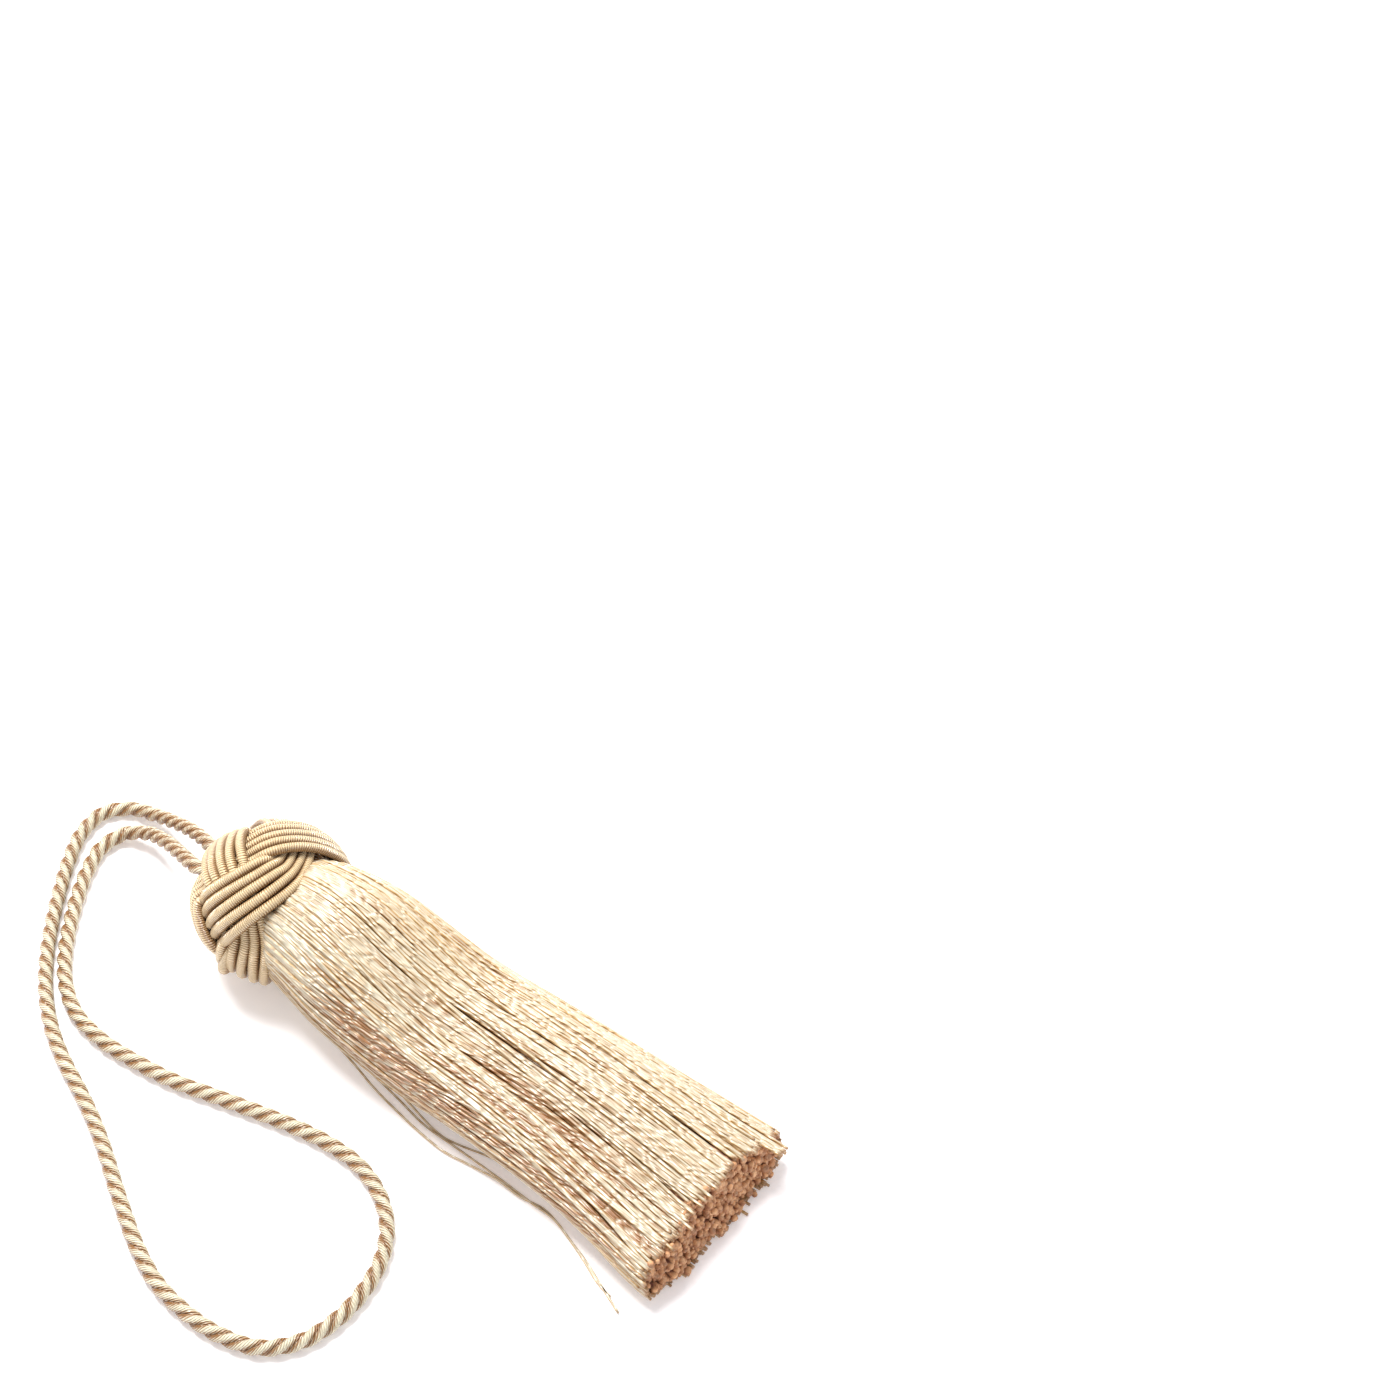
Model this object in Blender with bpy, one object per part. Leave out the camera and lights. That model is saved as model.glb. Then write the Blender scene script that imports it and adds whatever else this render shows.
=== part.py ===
"""Silk tassel lying on its side: a turban knot of gimp cord round the bound top of a skirt of
soft threads, with a hanging loop of three-ply laid cord. Metres, +Z up, the surface it lies on
at Z = 0. The tassel's axis runs along +X, from the knot to the cut end of the skirt."""

import math
import random

import bmesh
import bpy
import numpy as np
from mathutils import Vector

MM = 0.001

# Head: where the middle of the knot lies, and the gimp cord it is plaited from
HEAD_X = -0.0508
HEAD_Z = 0.0156
GIMP_D = 0.0019
STRANDS = 5
BAND_W = STRANDS * GIMP_D
STRAND_TOP = 0.45
STRAND_VALLEY = 0.30

# The barrel that the gimp is laid on: widest a little towards the skirt
BARREL_SHIFT = 0.0030
BARREL_HALF = 0.0152
BARREL_RADIUS = 0.0143
BARREL_ARC = 0.0147

# The plait: three leads, four bights on each edge, alternately over and under, pulled a little
# uneven round the head
LEADS = 3
BIGHTS = 4
SWING = 0.0083
SWING_MID = -0.0010
LIFT = 0.0011
PHASE = math.radians(2.0)
SHEAR = math.radians(26.0)
WARP = math.radians(10.0)
WARP_AT = math.radians(20.0)
KNOT_STEPS = 84
FLOOR_BLOCK = 0.08

# Cut end of the gimp, tucked in at the side: (arc, turn in degrees, lift, radius) at its root
# and at its end
TIP = ((0.0036, 182.0, 0.0006, 0.0008), (0.0026, 203.0, 0.0022, 0.0013))
TIP_SIDES = 8

# The bound top of the skirt, inside the knot: (x from the head, radius)
PLUG = ((-0.0085, 0.0053), (-0.0040, 0.0093), (0.0085, 0.0100))

# Locks: columns across the skirt and rows down it; each is a four-sided strand
LOCK_COLS = 15
LOCK_ROWS = 9
LOCK_FILL = 0.80
LOCK_JITTER = 0.10
LYING_FROM = 0.085
LYING_OVER = 0.027
FLATTEN_MIN = 0.2
END_SETBACK = 0.0030
END_SKEW = 0.0012
END_JITTER = 0.0006
SEED = 7

# Sections of the skirt: x from the head, half width, half height, place of the middle, and
# whether the inner locks have a corner there too
SKIRT_SECTIONS = (
    # x,      half_w, half_h, mid_y,  mid_z,  inner
    (0.0124, 0.0106, 0.0106, 0.0000, 0.0160, True),
    (0.0150, 0.0139, 0.0134, 0.0001, 0.0154, False),
    (0.0230, 0.0155, 0.0142, 0.0000, 0.0140, True),
    (0.0450, 0.0170, 0.0101, 0.0001, 0.0098, True),
    (0.0780, 0.0182, 0.0081, 0.0011, 0.0078, True),
    (0.1125, 0.0212, 0.0063, 0.0000, 0.0060, True),
)

# Hanging cord: three plies laid left-handed
CORD_D = 0.0032
CORD_VALLEY = 0.60
CORD_LAY = 0.0096
CORD_STEPS_PER_TURN = 7
ROUTE_SUBSTEPS = 20
PLIES = 3

# Route of the cord in millimetres from the middle of the head: out of the knot, down to the
# surface, round the loop and back in
CORD_ROUTE_MM = (
    (-8.9, -2.8, 16.0), (-14.8, -3.4, 15.9), (-22.4, -0.9, 12.2), (-30.9, 1.9, 8.0),
    (-38.5, 3.0, 4.0), (-43.0, 1.0, 2.2), (-44.2, -3.6, 1.7), (-42.2, -9.6, 1.7),
    (-38.9, -15.6, 1.7), (-34.7, -21.9, 1.7), (-29.9, -27.9, 1.7), (-24.5, -33.0, 1.7),
    (-18.0, -36.7, 1.7), (-10.0, -38.3, 1.7), (0.0, -38.0, 1.7), (9.6, -36.7, 1.7),
    (17.3, -34.7, 1.7), (25.3, -32.7, 1.7), (33.2, -30.9, 1.7), (41.4, -29.7, 1.7),
    (49.7, -29.9, 1.7), (56.9, -32.4, 1.7), (62.5, -36.6, 1.7), (66.3, -42.2, 1.7),
    (68.3, -49.3, 1.7), (68.5, -56.5, 1.7), (66.5, -63.8, 1.7), (61.6, -69.2, 1.7),
    (54.5, -71.6, 1.7), (46.0, -72.0, 1.7), (37.5, -70.7, 1.7), (29.6, -67.6, 1.7),
    (22.9, -64.0, 1.7), (16.5, -60.3, 1.7), (10.6, -56.7, 1.7), (3.7, -52.9, 1.7),
    (-3.8, -49.4, 1.7), (-11.0, -46.4, 1.7), (-18.6, -42.4, 1.7), (-25.7, -37.2, 1.7),
    (-31.9, -31.1, 1.7), (-37.5, -24.3, 1.7), (-42.5, -17.3, 1.7), (-47.1, -10.1, 1.7),
    (-50.3, -3.4, 1.7), (-50.6, 3.2, 1.7), (-46.6, 7.4, 1.9), (-41.2, 8.3, 3.1),
    (-33.4, 7.5, 6.7), (-25.2, 5.6, 11.0), (-16.6, 2.7, 14.8), (-8.9, 1.1, 15.6),
)

COLOURS = {
    "head_knot": (0.80, 0.63, 0.38, 1.0),
    "skirt": (0.90, 0.80, 0.60, 1.0),
    "hanging_cord": (0.85, 0.71, 0.47, 1.0),
}


def clear_scene():
    """Empties the scene."""
    for obj in list(bpy.data.objects):
        bpy.data.objects.remove(obj)


def add_object(name, bm):
    """Links the bmesh as an object of that name, with a material of its own."""
    bmesh.ops.recalc_face_normals(bm, faces=bm.faces)
    mesh = bpy.data.meshes.new(name)
    bm.to_mesh(mesh)
    bm.free()
    material = bpy.data.materials.new(name)
    material.use_nodes = True
    shader = material.node_tree.nodes["Principled BSDF"]
    shader.inputs["Base Color"].default_value = COLOURS[name]
    shader.inputs["Roughness"].default_value = 0.45
    shader.inputs["Metallic"].default_value = 0.0
    mesh.materials.append(material)
    obj = bpy.data.objects.new(name, mesh)
    bpy.context.scene.collection.objects.link(obj)
    return obj


def skin_rings(bm, rings, closed):
    """Joins rings of points into a tube: round into its own start, or capped at both ends."""
    loops = [[bm.verts.new(point) for point in ring] for ring in rings]
    sides = len(loops[0])
    for k in range(len(loops) if closed else len(loops) - 1):
        here, there = loops[k], loops[(k + 1) % len(loops)]
        for i in range(sides):
            j = (i + 1) % sides
            bm.faces.new((here[i], here[j], there[j], there[i]))
    if not closed:
        bm.faces.new(loops[0])
        bm.faces.new(loops[-1])


def smooth_step(value):
    """Eases a value from 0 to 1."""
    value = min(max(value, 0.0), 1.0)
    return value * value * (3.0 - 2.0 * value)


# Head knot


def on_barrel(arc, turn, lift):
    """Point on the head's barrel: arc along the axis, turn about it, lift off the surface."""
    q = (arc - BARREL_SHIFT) / BARREL_ARC
    normal = Vector((math.sin(q) / BARREL_HALF, math.cos(q) / BARREL_RADIUS)).normalized()
    along = BARREL_SHIFT + BARREL_HALF * math.sin(q) + lift * normal.x
    radius = BARREL_RADIUS * math.cos(q) + lift * normal.y
    return Vector((HEAD_X + along, radius * math.cos(turn), HEAD_Z + radius * math.sin(turn)))


def barrel_radius(arc):
    """Radius of the barrel at an arc along the axis."""
    return BARREL_RADIUS * math.cos((arc - BARREL_SHIFT) / BARREL_ARC)


def plait_path(s):
    """Middle of the band at parameter s: (arc, turn, lift)."""
    arc = SWING_MID + SWING * math.cos(BIGHTS * s)
    turn = PHASE + LEADS * s + SHEAR * (1.0 - math.cos(BIGHTS * s)) / 2.0
    turn += WARP * math.cos(turn - WARP_AT)
    lift = LIFT * math.tanh(2.0 * math.sin(2 * BIGHTS * s))
    return arc, turn, lift


def band_section():
    """Outline of the band of side-by-side strands: (offset across, lift), clockwise."""
    half = GIMP_D / 2
    outline = []
    for k in range(STRANDS):
        middle = (k - (STRANDS - 1) / 2) * GIMP_D
        if k:
            outline.append((middle - half, STRAND_VALLEY * half))
        outline.append((middle - STRAND_TOP * half, half))
        outline.append((middle + STRAND_TOP * half, half))
    edge = BAND_W / 2
    foot = (STRANDS - 1 + STRAND_TOP) * half
    return outline + [(edge, 0.0), (foot, -half), (0.0, -half), (-foot, -half), (-edge, 0.0)]


def band_ring(s, outline):
    """The band's outline laid on the barrel across its path at s."""
    arc, turn, lift = plait_path(s)
    nudge = math.pi / KNOT_STEPS
    ahead = plait_path(s + nudge)
    behind = plait_path(s - nudge)
    radius = barrel_radius(arc)
    course = Vector((ahead[0] - behind[0], radius * (ahead[1] - behind[1]))).normalized()
    ring = []
    for offset, height in outline:
        side_arc = arc - offset * course.y
        mean_radius = (radius + barrel_radius(side_arc)) / 2
        side_turn = turn + offset * course.x / mean_radius
        ring.append(on_barrel(side_arc, side_turn, lift + height))
    return ring


def keep_outer_shell(bm):
    """Fills the pockets shut in between crossing bands, by dropping their inner shells."""
    bmesh.ops.remove_doubles(bm, verts=bm.verts, dist=MM / 1000)
    left = set(bm.verts)
    shells = []
    while left:
        shell = {left.pop()}
        edge_of_shell = list(shell)
        while edge_of_shell:
            vert = edge_of_shell.pop()
            for edge in vert.link_edges:
                other = edge.other_vert(vert)
                if other in left:
                    left.remove(other)
                    shell.add(other)
                    edge_of_shell.append(other)
        shells.append(shell)
    shells.sort(key=len)
    for shell in shells[:-1]:
        bmesh.ops.delete(bm, geom=list(shell), context="VERTS")


def add_tip(bm):
    """The gimp's cut end: a short stub that widens towards its end."""
    (start, thin), (end, wide) = ((on_barrel(arc, math.radians(turn), lift), radius)
                                  for arc, turn, lift, radius in TIP)
    axis = (end - start).normalized()
    side = axis.orthogonal().normalized()
    other = axis.cross(side)
    angles = [2 * math.pi * k / TIP_SIDES for k in range(TIP_SIDES)]
    rings = [[centre + radius * (math.cos(a) * side + math.sin(a) * other) for a in angles]
             for centre, radius in ((start, thin), (end, wide))]
    skin_rings(bm, rings, closed=False)


def make_floor_cutter():
    """Block below the surface that the tassel lies on."""
    bm = bmesh.new()
    bmesh.ops.create_cube(bm, size=FLOOR_BLOCK)
    bmesh.ops.translate(bm, verts=bm.verts, vec=(HEAD_X, 0.0, -FLOOR_BLOCK / 2))
    mesh = bpy.data.meshes.new("floor_cutter")
    bm.to_mesh(mesh)
    bm.free()
    cutter = bpy.data.objects.new("floor_cutter", mesh)
    bpy.context.scene.collection.objects.link(cutter)
    return cutter


def make_head_knot():
    """The plaited ring: one endless band that crosses itself, fused where it does, with the
    small flat it rests on cut at the surface."""
    bm = bmesh.new()
    outline = band_section()
    rings = [band_ring(2 * math.pi * k / KNOT_STEPS, outline) for k in range(KNOT_STEPS)]
    skin_rings(bm, rings, closed=True)
    add_tip(bm)
    knot = add_object("head_knot", bm)

    cutter = make_floor_cutter()
    cut = knot.modifiers.new("flat_spot", "BOOLEAN")
    cut.operation = "DIFFERENCE"
    cut.object = cutter
    cut.solver = "EXACT"
    cut.use_self = True
    fused = bmesh.new()
    fused.from_object(knot, bpy.context.evaluated_depsgraph_get())
    knot.modifiers.clear()
    bpy.data.objects.remove(cutter)
    keep_outer_shell(fused)
    fused.to_mesh(knot.data)
    fused.free()
    return knot


# Skirt


def disc_point(u, v):
    """Point of the unit disc for a point of the square from -1 to 1, areas kept."""
    if u == v == 0:
        return 0.0, 0.0
    if abs(u) > abs(v):
        radius, angle = u, (math.pi / 4) * (v / u)
    else:
        radius, angle = v, (math.pi / 2) - (math.pi / 4) * (u / v)
    return radius * math.cos(angle), radius * math.sin(angle)


def skirt_point(u, v, x, half_w, half_h, mid_y, mid_z):
    """Place of a lock's corner in one section; lower locks spread level near the cut end."""
    across, up = disc_point(u, v)
    lying = smooth_step((x - LYING_FROM) / LYING_OVER)
    if up < 0:
        round_edge = max(math.sqrt(1.0 - across * across), FLATTEN_MIN)
        flat_edge = (1.0 - across ** 4) ** 0.25
        up *= 1.0 + lying * (max(flat_edge, round_edge) / round_edge - 1.0)
    return Vector((HEAD_X + x, mid_y + half_w * across, max(mid_z + half_h * up, 0.0)))


def lock_corners(col, row, fill, shift):
    """The four corners of a lock in the square from -1 to 1."""
    half_u, half_v = fill / LOCK_COLS, fill / LOCK_ROWS
    u = -1.0 + (2 * col + 1) / LOCK_COLS + shift[0] / LOCK_COLS
    v = -1.0 + (2 * row + 1) / LOCK_ROWS + shift[1] / LOCK_ROWS
    return [(u - half_u, v - half_v), (u + half_u, v - half_v),
            (u + half_u, v + half_v), (u - half_u, v + half_v)]


def make_skirt():
    """The bound top, a plug inside the knot, and the locks that run out of its front face."""
    rng = random.Random(SEED)
    bm = bmesh.new()
    back, shoulder, front = PLUG
    root_x, root_r = front

    # Front face of the bound top: a grid drawn into a disc, one face for each lock
    grid = [[bm.verts.new((HEAD_X + root_x, root_r * y, HEAD_Z + root_r * z))
             for y, z in (disc_point(-1 + 2 * c / LOCK_COLS, -1 + 2 * r / LOCK_ROWS)
                          for c in range(LOCK_COLS + 1))]
            for r in range(LOCK_ROWS + 1)]
    cells = {}
    for r in range(LOCK_ROWS):
        for c in range(LOCK_COLS):
            corners = (grid[r][c], grid[r][c + 1], grid[r + 1][c + 1], grid[r + 1][c])
            cells[c, r] = bm.faces.new(corners)
    rim = [edge for edge in bm.edges if edge.is_boundary]

    # Side and back of the bound top
    for (x, radius), scale in ((shoulder, shoulder[1] / root_r), (back, back[1] / shoulder[1])):
        wall = bmesh.ops.extrude_edge_only(bm, edges=rim)["geom"]
        moved = [v for v in wall if isinstance(v, bmesh.types.BMVert)]
        for vert in moved:
            vert.co.x = HEAD_X + x
            vert.co.y *= scale
            vert.co.z = HEAD_Z + (vert.co.z - HEAD_Z) * scale
        rim = [e for e in wall if isinstance(e, bmesh.types.BMEdge)
               and all(v in moved for v in e.verts)]
    bmesh.ops.contextual_create(bm, geom=rim)

    for (col, row), cell in cells.items():
        edge_lock = col in (0, LOCK_COLS - 1) or row in (0, LOCK_ROWS - 1)
        bmesh.ops.inset_individual(bm, faces=[cell], thickness=MM / 10)
        for vert, (u, v) in zip(cell.verts, lock_corners(col, row, LOCK_FILL, (0, 0))):
            y, z = disc_point(u, v)
            vert.co = Vector((HEAD_X + root_x, root_r * y, HEAD_Z + root_r * z))
        tip_jitter = rng.uniform(-END_JITTER, END_JITTER)
        face = cell
        for x, half_w, half_h, mid_y, mid_z, inner in SKIRT_SECTIONS:
            if not (edge_lock or inner):
                continue
            face = bmesh.ops.extrude_discrete_faces(bm, faces=[face])["faces"][0]
            shift = [rng.uniform(-LOCK_JITTER, LOCK_JITTER) for _ in range(2)]
            corners = lock_corners(col, row, LOCK_FILL, shift)
            for vert, (u, v) in zip(face.verts, corners):
                vert.co = skirt_point(u, v, x, half_w, half_h, mid_y, mid_z)
                if x == SKIRT_SECTIONS[-1][0]:
                    vert.co.x += tip_jitter + END_SKEW * vert.co.y / half_w
                    vert.co.x -= END_SETBACK * vert.co.z / (2 * half_h)
    return add_object("skirt", bm)


# Hanging cord


def smooth_route(points, step):
    """Points a step apart on a smooth curve through the route's own points."""
    knots = [Vector(p) for p in points]
    knots = [2 * knots[0] - knots[1]] + knots + [2 * knots[-1] - knots[-2]]
    fine = []
    for a, b, c, d in zip(knots, knots[1:], knots[2:], knots[3:]):
        for k in range(ROUTE_SUBSTEPS):
            t = k / ROUTE_SUBSTEPS
            fine.append(0.5 * (2 * b + (c - a) * t + (2 * a - 5 * b + 4 * c - d) * t * t
                               + (3 * b - a - 3 * c + d) * t ** 3))
    fine = np.array([*fine, knots[-2]])
    run = np.concatenate(([0.0], np.cumsum(np.linalg.norm(np.diff(fine, axis=0), axis=1))))
    count = round(run[-1] / step)
    stops = np.linspace(0.0, run[-1], count + 1)
    return [Vector([np.interp(s, run, fine[:, axis]) for axis in range(3)]) for s in stops]


def make_hanging_cord():
    """The cord: a three-lobed section that turns as it runs along the route."""
    route = [(HEAD_X + x * MM, y * MM, z * MM) for x, y, z in CORD_ROUTE_MM]
    step = CORD_LAY / CORD_STEPS_PER_TURN
    path = smooth_route(route, step)
    sides = 2 * PLIES
    side = Vector((0.0, 1.0, 0.0))
    rings = []
    for k, centre in enumerate(path):
        ahead = path[min(k + 1, len(path) - 1)] - path[max(k - 1, 0)]
        ahead.normalize()
        side = (side - side.dot(ahead) * ahead).normalized()
        other = ahead.cross(side)
        lay = -2 * math.pi * k / CORD_STEPS_PER_TURN
        ring = []
        for i in range(sides):
            radius = CORD_D / 2 * (CORD_VALLEY if i % 2 else 1.0)
            angle = lay + 2 * math.pi * i / sides
            ring.append(centre + radius * (math.cos(angle) * side + math.sin(angle) * other))
        rings.append(ring)
    bm = bmesh.new()
    skin_rings(bm, rings, closed=False)
    return add_object("hanging_cord", bm)


def main():
    """Builds the tassel."""
    clear_scene()
    make_head_knot()
    make_skirt()
    make_hanging_cord()


main()
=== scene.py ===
"""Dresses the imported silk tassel: gimp knot, thread skirt and laid cord on a pale studio floor."""

import logging
import math
from dataclasses import dataclass
from enum import Enum

import bmesh
import bpy
import numpy as np
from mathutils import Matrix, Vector


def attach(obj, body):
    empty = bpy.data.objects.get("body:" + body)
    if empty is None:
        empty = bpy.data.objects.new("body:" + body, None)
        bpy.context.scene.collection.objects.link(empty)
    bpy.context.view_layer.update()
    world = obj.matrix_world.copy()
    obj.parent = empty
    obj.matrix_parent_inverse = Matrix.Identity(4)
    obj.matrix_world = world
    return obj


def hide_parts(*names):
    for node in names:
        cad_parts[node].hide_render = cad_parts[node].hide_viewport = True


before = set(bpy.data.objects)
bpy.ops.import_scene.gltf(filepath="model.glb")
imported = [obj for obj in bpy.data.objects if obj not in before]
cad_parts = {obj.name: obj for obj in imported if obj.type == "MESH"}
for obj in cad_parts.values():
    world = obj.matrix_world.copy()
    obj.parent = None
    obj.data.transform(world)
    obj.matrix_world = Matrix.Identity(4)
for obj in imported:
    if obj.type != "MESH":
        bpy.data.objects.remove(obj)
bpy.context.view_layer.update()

LOG = logging.getLogger("tassel")

MM = 0.001
TURN = 2.0 * math.pi
BODY = "root"

# Middle of the head knot, on the tassel's axis; the surface it lies on is at height 0
HEAD_X = -50.8 * MM
HEAD_Z = 15.6 * MM

Array = np.ndarray
Point = tuple[float, float, float]
Span = tuple[float, float]
Colour = tuple[float, float, float]
Rows = tuple[tuple[float, ...], ...]
Feed = bpy.types.NodeSocket | float


class Node(Enum):
    """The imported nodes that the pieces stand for."""

    KNOT = "head_knot"
    SKIRT = "skirt"
    CORD = "hanging_cord"


class Slot(Enum):
    """The record's material slots."""

    GIMP = "gimp_cord"
    THREAD = "skirt_thread"
    CORD = "laid_cord"


# Tools on numbers


def smooth_step(value: Array) -> Array:
    """Eases values from 0 to 1."""
    value = np.clip(value, 0.0, 1.0)
    return value * value * (3.0 - 2.0 * value)


def smooth_rows(xs: Array, ys: Array, x: Array) -> Array:
    """Reads a small table along a smooth curve through its rows.

    Args:
        xs: The rows' positions, rising.
        ys: The rows' values.
        x: Where to read.

    Returns:
        The values at x.
    """
    slopes = np.gradient(ys, xs)
    x = np.clip(x, xs[0], xs[-1])
    k = np.clip(np.searchsorted(xs, x) - 1, 0, len(xs) - 2)
    step = xs[k + 1] - xs[k]
    t = (x - xs[k]) / step
    return ((2 * t**3 - 3 * t**2 + 1) * ys[k] + (t**3 - 2 * t**2 + t) * step * slopes[k]
            + (3 * t**2 - 2 * t**3) * ys[k + 1] + (t**3 - t**2) * step * slopes[k + 1])


def smooth_points(marks: Array, points: Array, stops: Array) -> Array:
    """Points on a smooth curve through others, at stops on the same scale as their marks."""
    return np.stack([smooth_rows(marks, points[:, axis], stops) for axis in range(3)], axis=1)


def wave_sum(along: Array, waves: Rows, phases: Array) -> Array:
    """Adds up waves, each given as its number of turns and its size."""
    return sum(size * np.sin(TURN * turns * along + phase)
               for (turns, size), phase in zip(waves, phases))


def unit(vectors: Array) -> Array:
    """Scales vectors to length one."""
    return vectors / np.linalg.norm(vectors, axis=-1, keepdims=True)


def square_to(vectors: Array, axes: Array) -> Array:
    """Turns vectors until they are square to the axes, and scales them to length one."""
    return unit(vectors - np.sum(vectors * axes, axis=1, keepdims=True) * axes)


def upward(count: int) -> Array:
    """The upward direction, once for each point."""
    return np.tile((0.0, 0.0, 1.0), (count, 1))


def heading(path: Array) -> Array:
    """Direction of an open path at each of its points."""
    return unit(np.gradient(path, axis=0))


def run_along(path: Array) -> Array:
    """Distance from the path's start at each of its points."""
    return np.concatenate(([0.0], np.cumsum(np.linalg.norm(np.diff(path, axis=0), axis=1))))


def even_path(points: Array, count: int, fineness: int = 20) -> Array:
    """Lays evenly spaced points on a smooth curve through a route.

    Args:
        points: The route's own points.
        count: How many new points.
        fineness: How many steps the curve takes for each point of the route.

    Returns:
        The new points.
    """
    marks = run_along(points)
    curve = smooth_points(marks, points, np.linspace(0.0, marks[-1], fineness * len(points)))
    marks = run_along(curve)
    stops = np.linspace(0.0, marks[-1], count)
    return np.stack([np.interp(stops, marks, curve[:, axis]) for axis in range(3)], axis=1)


# Meshes


def mesh_from(bm: bmesh.types.BMesh, name: str) -> bpy.types.Mesh:
    """Turns an edited mesh into a kept one.

    Args:
        bm: The edited mesh, which ends here.
        name: The new mesh's name.

    Returns:
        The new mesh.
    """
    mesh = bpy.data.meshes.new(name)
    bm.to_mesh(mesh)
    bm.free()
    return mesh


def read_points(mesh: bpy.types.Mesh) -> Array:
    """Reads a mesh's vertices.

    Args:
        mesh: The mesh.

    Returns:
        Their places, one row for each.
    """
    flat = np.empty(3 * len(mesh.vertices))
    mesh.vertices.foreach_get("co", flat)
    return flat.reshape(-1, 3)


def write_values(mesh: bpy.types.Mesh, values: dict[str, Array]) -> None:
    """Keeps named values on a mesh's vertices.

    Args:
        mesh: The mesh.
        values: One number for each vertex, under each name.
    """
    for key, numbers in values.items():
        layer = mesh.attributes.new(key, "FLOAT", "POINT")
        layer.data.foreach_set("value", numbers)


def link(mesh: bpy.types.Mesh) -> bpy.types.Object:
    """Puts a mesh in the scene.

    Args:
        mesh: The mesh.

    Returns:
        Its object, of the same name.
    """
    obj = bpy.data.objects.new(mesh.name, mesh)
    bpy.context.scene.collection.objects.link(obj)
    return obj


# Tubes: a straight or round tube made once, then bent to each strand's own path


@dataclass
class Strand:
    """One strand: its centre line, its outer side, its thickness and what its colour reads."""

    path: Array
    out: Array
    radius: Array | float
    start: float = 0.0
    tone: Array | float = 0.0
    depth: Array | float = 0.0
    frayed: Array | float = 0.0


class Tube:
    """A tube whose rings and sides are known, which strands are bent from."""

    # of the round tube's own section, before it is bent
    ROUND_RADIUS = 0.3

    def __init__(self, rings: int, sides: int, closed: bool = False) -> None:
        """Makes the tube.

        Args:
            rings: Rings along the tube.
            sides: Sides round it.
            closed: Whether the tube runs back into its own start.
        """
        self.rings = rings
        self.closed = closed
        shape = self._round_shape(sides) if closed else self._straight_shape(sides)
        self.mesh = mesh_from(shape, "tube")
        points = read_points(self.mesh)
        if closed:
            turn = np.arctan2(points[:, 1], points[:, 0]) / TURN * rings
            self.ring = np.rint(turn).astype(int) % rings
            self.angle = -np.arctan2(points[:, 2], np.hypot(points[:, 0], points[:, 1]) - 1.0)
        else:
            self.ring = np.rint((points[:, 2] + 0.5) * (rings - 1)).astype(int)
            self.angle = np.arctan2(points[:, 1], points[:, 0])

    def _straight_shape(self, sides: int) -> bmesh.types.BMesh:
        """A capped cylinder one unit long, cut into rings.

        Args:
            sides: Sides round it.

        Returns:
            The cylinder.
        """
        bm = bmesh.new()
        bmesh.ops.create_cone(bm, cap_ends=True, cap_tris=False, segments=sides, radius1=1.0,
                              radius2=1.0, depth=1.0)
        long_edges = [e for e in bm.edges if abs(e.verts[0].co.z - e.verts[1].co.z) > 0.5]
        bmesh.ops.subdivide_edges(bm, edges=long_edges, cuts=self.rings - 2)
        return bm

    def _round_shape(self, sides: int) -> bmesh.types.BMesh:
        """A closed ring of radius one, spun from a circle.

        Args:
            sides: Sides round it.

        Returns:
            The ring.
        """
        bm = bmesh.new()
        bmesh.ops.create_circle(bm, segments=sides, radius=self.ROUND_RADIUS)
        upright = Vector((0, 0, 1)).rotation_difference(Vector((0, 1, 0))).to_matrix()
        bmesh.ops.rotate(bm, verts=bm.verts, cent=(0, 0, 0), matrix=upright)
        bmesh.ops.translate(bm, verts=bm.verts, vec=(1.0, 0.0, 0.0))
        bmesh.ops.spin(bm, geom=[*bm.verts, *bm.edges], cent=(0, 0, 0), axis=(0, 0, 1),
                       angle=TURN, steps=self.rings, use_merge=True)
        bmesh.ops.recalc_face_normals(bm, faces=bm.faces)
        return bm

    def at_vertices(self, value: Array | float) -> Array:
        """Hands each vertex the value of its ring."""
        return np.broadcast_to(value, (self.rings,))[self.ring]

    def bend(self, strand: Strand) -> tuple[Array, dict[str, Array]]:
        """Bends the tube to a strand.

        Args:
            strand: The strand to follow.

        Returns:
            The vertices' places, and the values that the strand's colour reads at each.
        """
        if self.closed:
            ahead = unit(np.roll(strand.path, -1, axis=0) - np.roll(strand.path, 1, axis=0))
        else:
            ahead = heading(strand.path)
        crown = square_to(strand.out, ahead)
        other = np.cross(ahead, crown)
        facing, side = np.cos(self.angle), np.sin(self.angle)
        reach = self.at_vertices(strand.radius)[:, None]
        points = strand.path[self.ring] + reach * (facing[:, None] * crown[self.ring]
                                                   + side[:, None] * other[self.ring])
        return points, {"facing": facing, "side": side,
                        "along": strand.start + run_along(strand.path)[self.ring],
                        "tone": self.at_vertices(strand.tone),
                        "depth": self.at_vertices(strand.depth),
                        "frayed": self.at_vertices(strand.frayed)}


def bundle(name: str, tube: Tube, strands: list[Strand]) -> bpy.types.Object:
    """Bends one copy of a tube to each strand and joins them in one piece.

    Args:
        name: The piece's name.
        tube: The tube to bend.
        strands: The strands.

    Returns:
        The piece, linked to the scene.
    """
    bm = bmesh.new()
    for _ in strands:
        bm.from_mesh(tube.mesh)
    mesh = mesh_from(bm, name)
    bent = [tube.bend(strand) for strand in strands]
    mesh.vertices.foreach_set("co", np.concatenate([points for points, _ in bent]).ravel())
    keys = bent[0][1]
    write_values(mesh, {key: np.concatenate([values[key] for _, values in bent]) for key in keys})
    mesh.shade_smooth()
    mesh.update()
    return link(mesh)


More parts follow.
